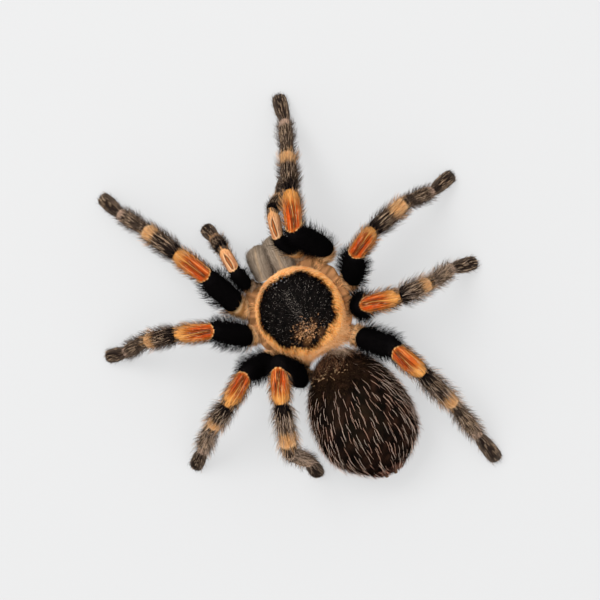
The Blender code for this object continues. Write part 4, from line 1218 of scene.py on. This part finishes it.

# Flecks: fine pale ones in rays over the black and along its middle line, which are painted glints of
# light on the velvet, and coppery ones thick behind the pit.
for pale, count, wide, back in ((1, 3900, 8.8, 8.6), (1, 900, 0.8, 6.0), (0, 240, 1.9, 1.6)):
    all_over = wide > 8
    x = (rng.uniform(-wide, wide, count) if all_over else rng.normal(0.0 if pale else 0.75, wide, count)) * MM
    y = (rng.uniform(-back - 0.6, back - 0.6, count) if pale else rng.normal(5.0, back, count)) * MM
    ray = streaks(np.degrees(np.arctan2(x, PIT_BEHIND - y)), 0 * x, 0.9, 3.5)
    keep = (np.hypot(x - 0.2 * MM, y + 0.8 * MM) < 8.9 * MM) & (np.hypot(x, y + MOUND_AHEAD) > 1.7 * MM)
    keep &= (ray > 0.47) | (not all_over)
    x, y = x[keep], y[keep]
    angle = np.arctan2(x, -y)
    place = shield_place(angle, np.hypot(x, y) / shield_edge(angle))
    root, out, away = shield_frame(x, y)
    n = len(x)
    lie = unit(away + (0.5 if pale else 1.2) * rng.standard_normal((n, 3)))
    if pale:
        # The pale flecks are painted glints: light caught by the black velvet hair, drawn as short pale hairs.
        tint = (0.03 + 0.95 * rng.random((n, 1)) ** 4) * np.array([0.66, 0.56, 0.48])
        length, lean = rng.uniform(0.25, 0.55, n) * MM, np.radians(rng.uniform(15, 45, n))
        lots.append((root, out, lie, length, 0.055 * MM, lean, 0, 0, tint, 1, place))
    else:
        tint = np.array([0.98, 0.50, 0.22]) * (0.12 + 0.88 * rng.random((n, 1)))
        length, lean = rng.uniform(0.3, 0.8, n) * MM, np.radians(rng.uniform(15, 45, n))
        lots.append((root, out, lie, length, 0.14 * MM, lean, 0.6, 0.6, tint, 3, place))

# The fringe round the rim, long and tangled behind.
angle = np.concatenate([np.pi + rng.normal(0, 0.62, 1700), rng.uniform(-np.pi, np.pi, 1500)])
angle = (angle + np.pi) % (2 * np.pi) - np.pi
share = rng.uniform(0.90, 0.985, len(angle))
reach = (shield_edge(angle) - EDGE_COAT) * share
x, y = reach * np.sin(angle), -reach * np.cos(angle)
root, out, away = shield_frame(x, y)
n = len(x)
lie = unit(swept(x, y, away, 0.9) + 0.35 * rng.standard_normal((n, 3)))
tint = mix((0.80, 0.30, 0.080), (1.0, 0.62, 0.32), rng.random(n)) * rng.uniform(0.8, 1.0, (n, 1))
corner = bell(np.abs(angle), 2.6, 0.35) + 1.6 * bell(angle, -2.72, 0.28)
length = (0.7 + 0.4 * rng.random(n) + (2.0 * rise(y, 3 * MM, 9 * MM) + 1.2 * corner) * rng.random(n)) * MM
lean, curl = np.radians(rng.uniform(4, 26, n)), np.radians(rng.uniform(15, 40, n))
lots.append((root, out, lie, length, 0.10 * MM, lean, curl, 0.45, tint, 4, shield_place(angle, share)))
coat("coat_carapace", lots)

# The jaws' hair, with longer dark hairs that stand off the flanks.
for name, side in (("left", 1), ("right", -1)):
    count = 3400
    run = rng.uniform(-0.18, 0.97, count)
    angle = rng.uniform(0, 2 * np.pi, count)
    here = jaw_surface(side, run, angle)
    ahead = jaw_surface(side, run + 0.01, angle) - jaw_surface(side, run - 0.01, angle)
    round_it = jaw_surface(side, run, angle + 0.01) - jaw_surface(side, run, angle - 0.01)
    out = unit(np.cross(round_it, ahead))
    centre = jaw_surface(side, run, angle, inset=2.2 * MM)
    out *= np.sign((out * (here - centre)).sum(1))[:, None]
    tint = jaw_tint(run, angle, 2.0 * side) * rng.uniform(0.7, 1.35, (count, 1))
    place = 0.03 + 0.94 * np.stack([(run + 0.22) / 1.22, angle / (2 * np.pi)], -1)
    lie = unit(unit(ahead) + 0.12 * rng.standard_normal((count, 3)))
    flank = rise(np.abs(np.cos(angle)), 0.6, 0.95)
    length = rng.uniform(0.7, 1.4, count) * MM
    lean = np.radians(rng.uniform(10, 30, count) + 22 * flank)
    lots = [(here, out, lie, length, 0.085 * MM, lean, 0.5, 0.15, tint, 2, place)]
    far = rng.random(count) < 0.2 * flank
    dark = mix((0.03, 0.022, 0.017), (0.22, 0.16, 0.12), rng.random(count))[far]
    length, lean = rng.uniform(1.2, 2.4, far.sum()) * MM, np.radians(rng.uniform(35, 65, far.sum()))
    lots.append((here[far], out[far], lie[far], length, 0.08 * MM, lean, 0.8, 0.3, dark, 3, place[far]))
    coat(f"coat_jaw_{name}", lots)

# ======================================================================= claws
# Two small curved claws of hard black shell grow from each toe's end, one to either side and half hidden in
# the pad of hair. They are fixed to the toe.
claw_parts = []
for index, limb in enumerate(limbs):
    tip = spline(limb["centre"], np.array([limb["marks"][-1] - 0.25]))[0]
    ahead = unit(limb["centre"][-1] - limb["centre"][-3])
    flat_side = unit(np.cross(ahead, UP))
    above = np.cross(flat_side, ahead)
    for side in (-1, 1):
        run, angle, spot = lattice(12, 8)
        bend = 1.9 * run
        centre = tip + (0.30 * MM * np.sin(bend) + 0.1 * MM)[..., None] * ahead
        centre = centre + (side * (0.28 + 0.12 * run) * MM)[..., None] * flat_side
        centre = centre + (0.45 * MM + 0.30 * MM * (np.cos(bend) - 1))[..., None] * above
        thick = 0.085 * MM * (1 - run) ** 0.7 + 0.012 * MM
        lift = np.cos(bend)[..., None] * above + np.sin(bend)[..., None] * ahead
        points = oval_tube(centre, thick, thick, angle, flat_side, lift)
        points[..., 2] = np.maximum(points[..., 2], LOWEST)
        tint = np.full(points.shape, 0.008)
        claw_parts.append(closed_grid(points, tint, (spot + [index, 0.5 + side / 2]) / [10, 2]))
claws = solid("claws", *joined(claw_parts), fang_finish)
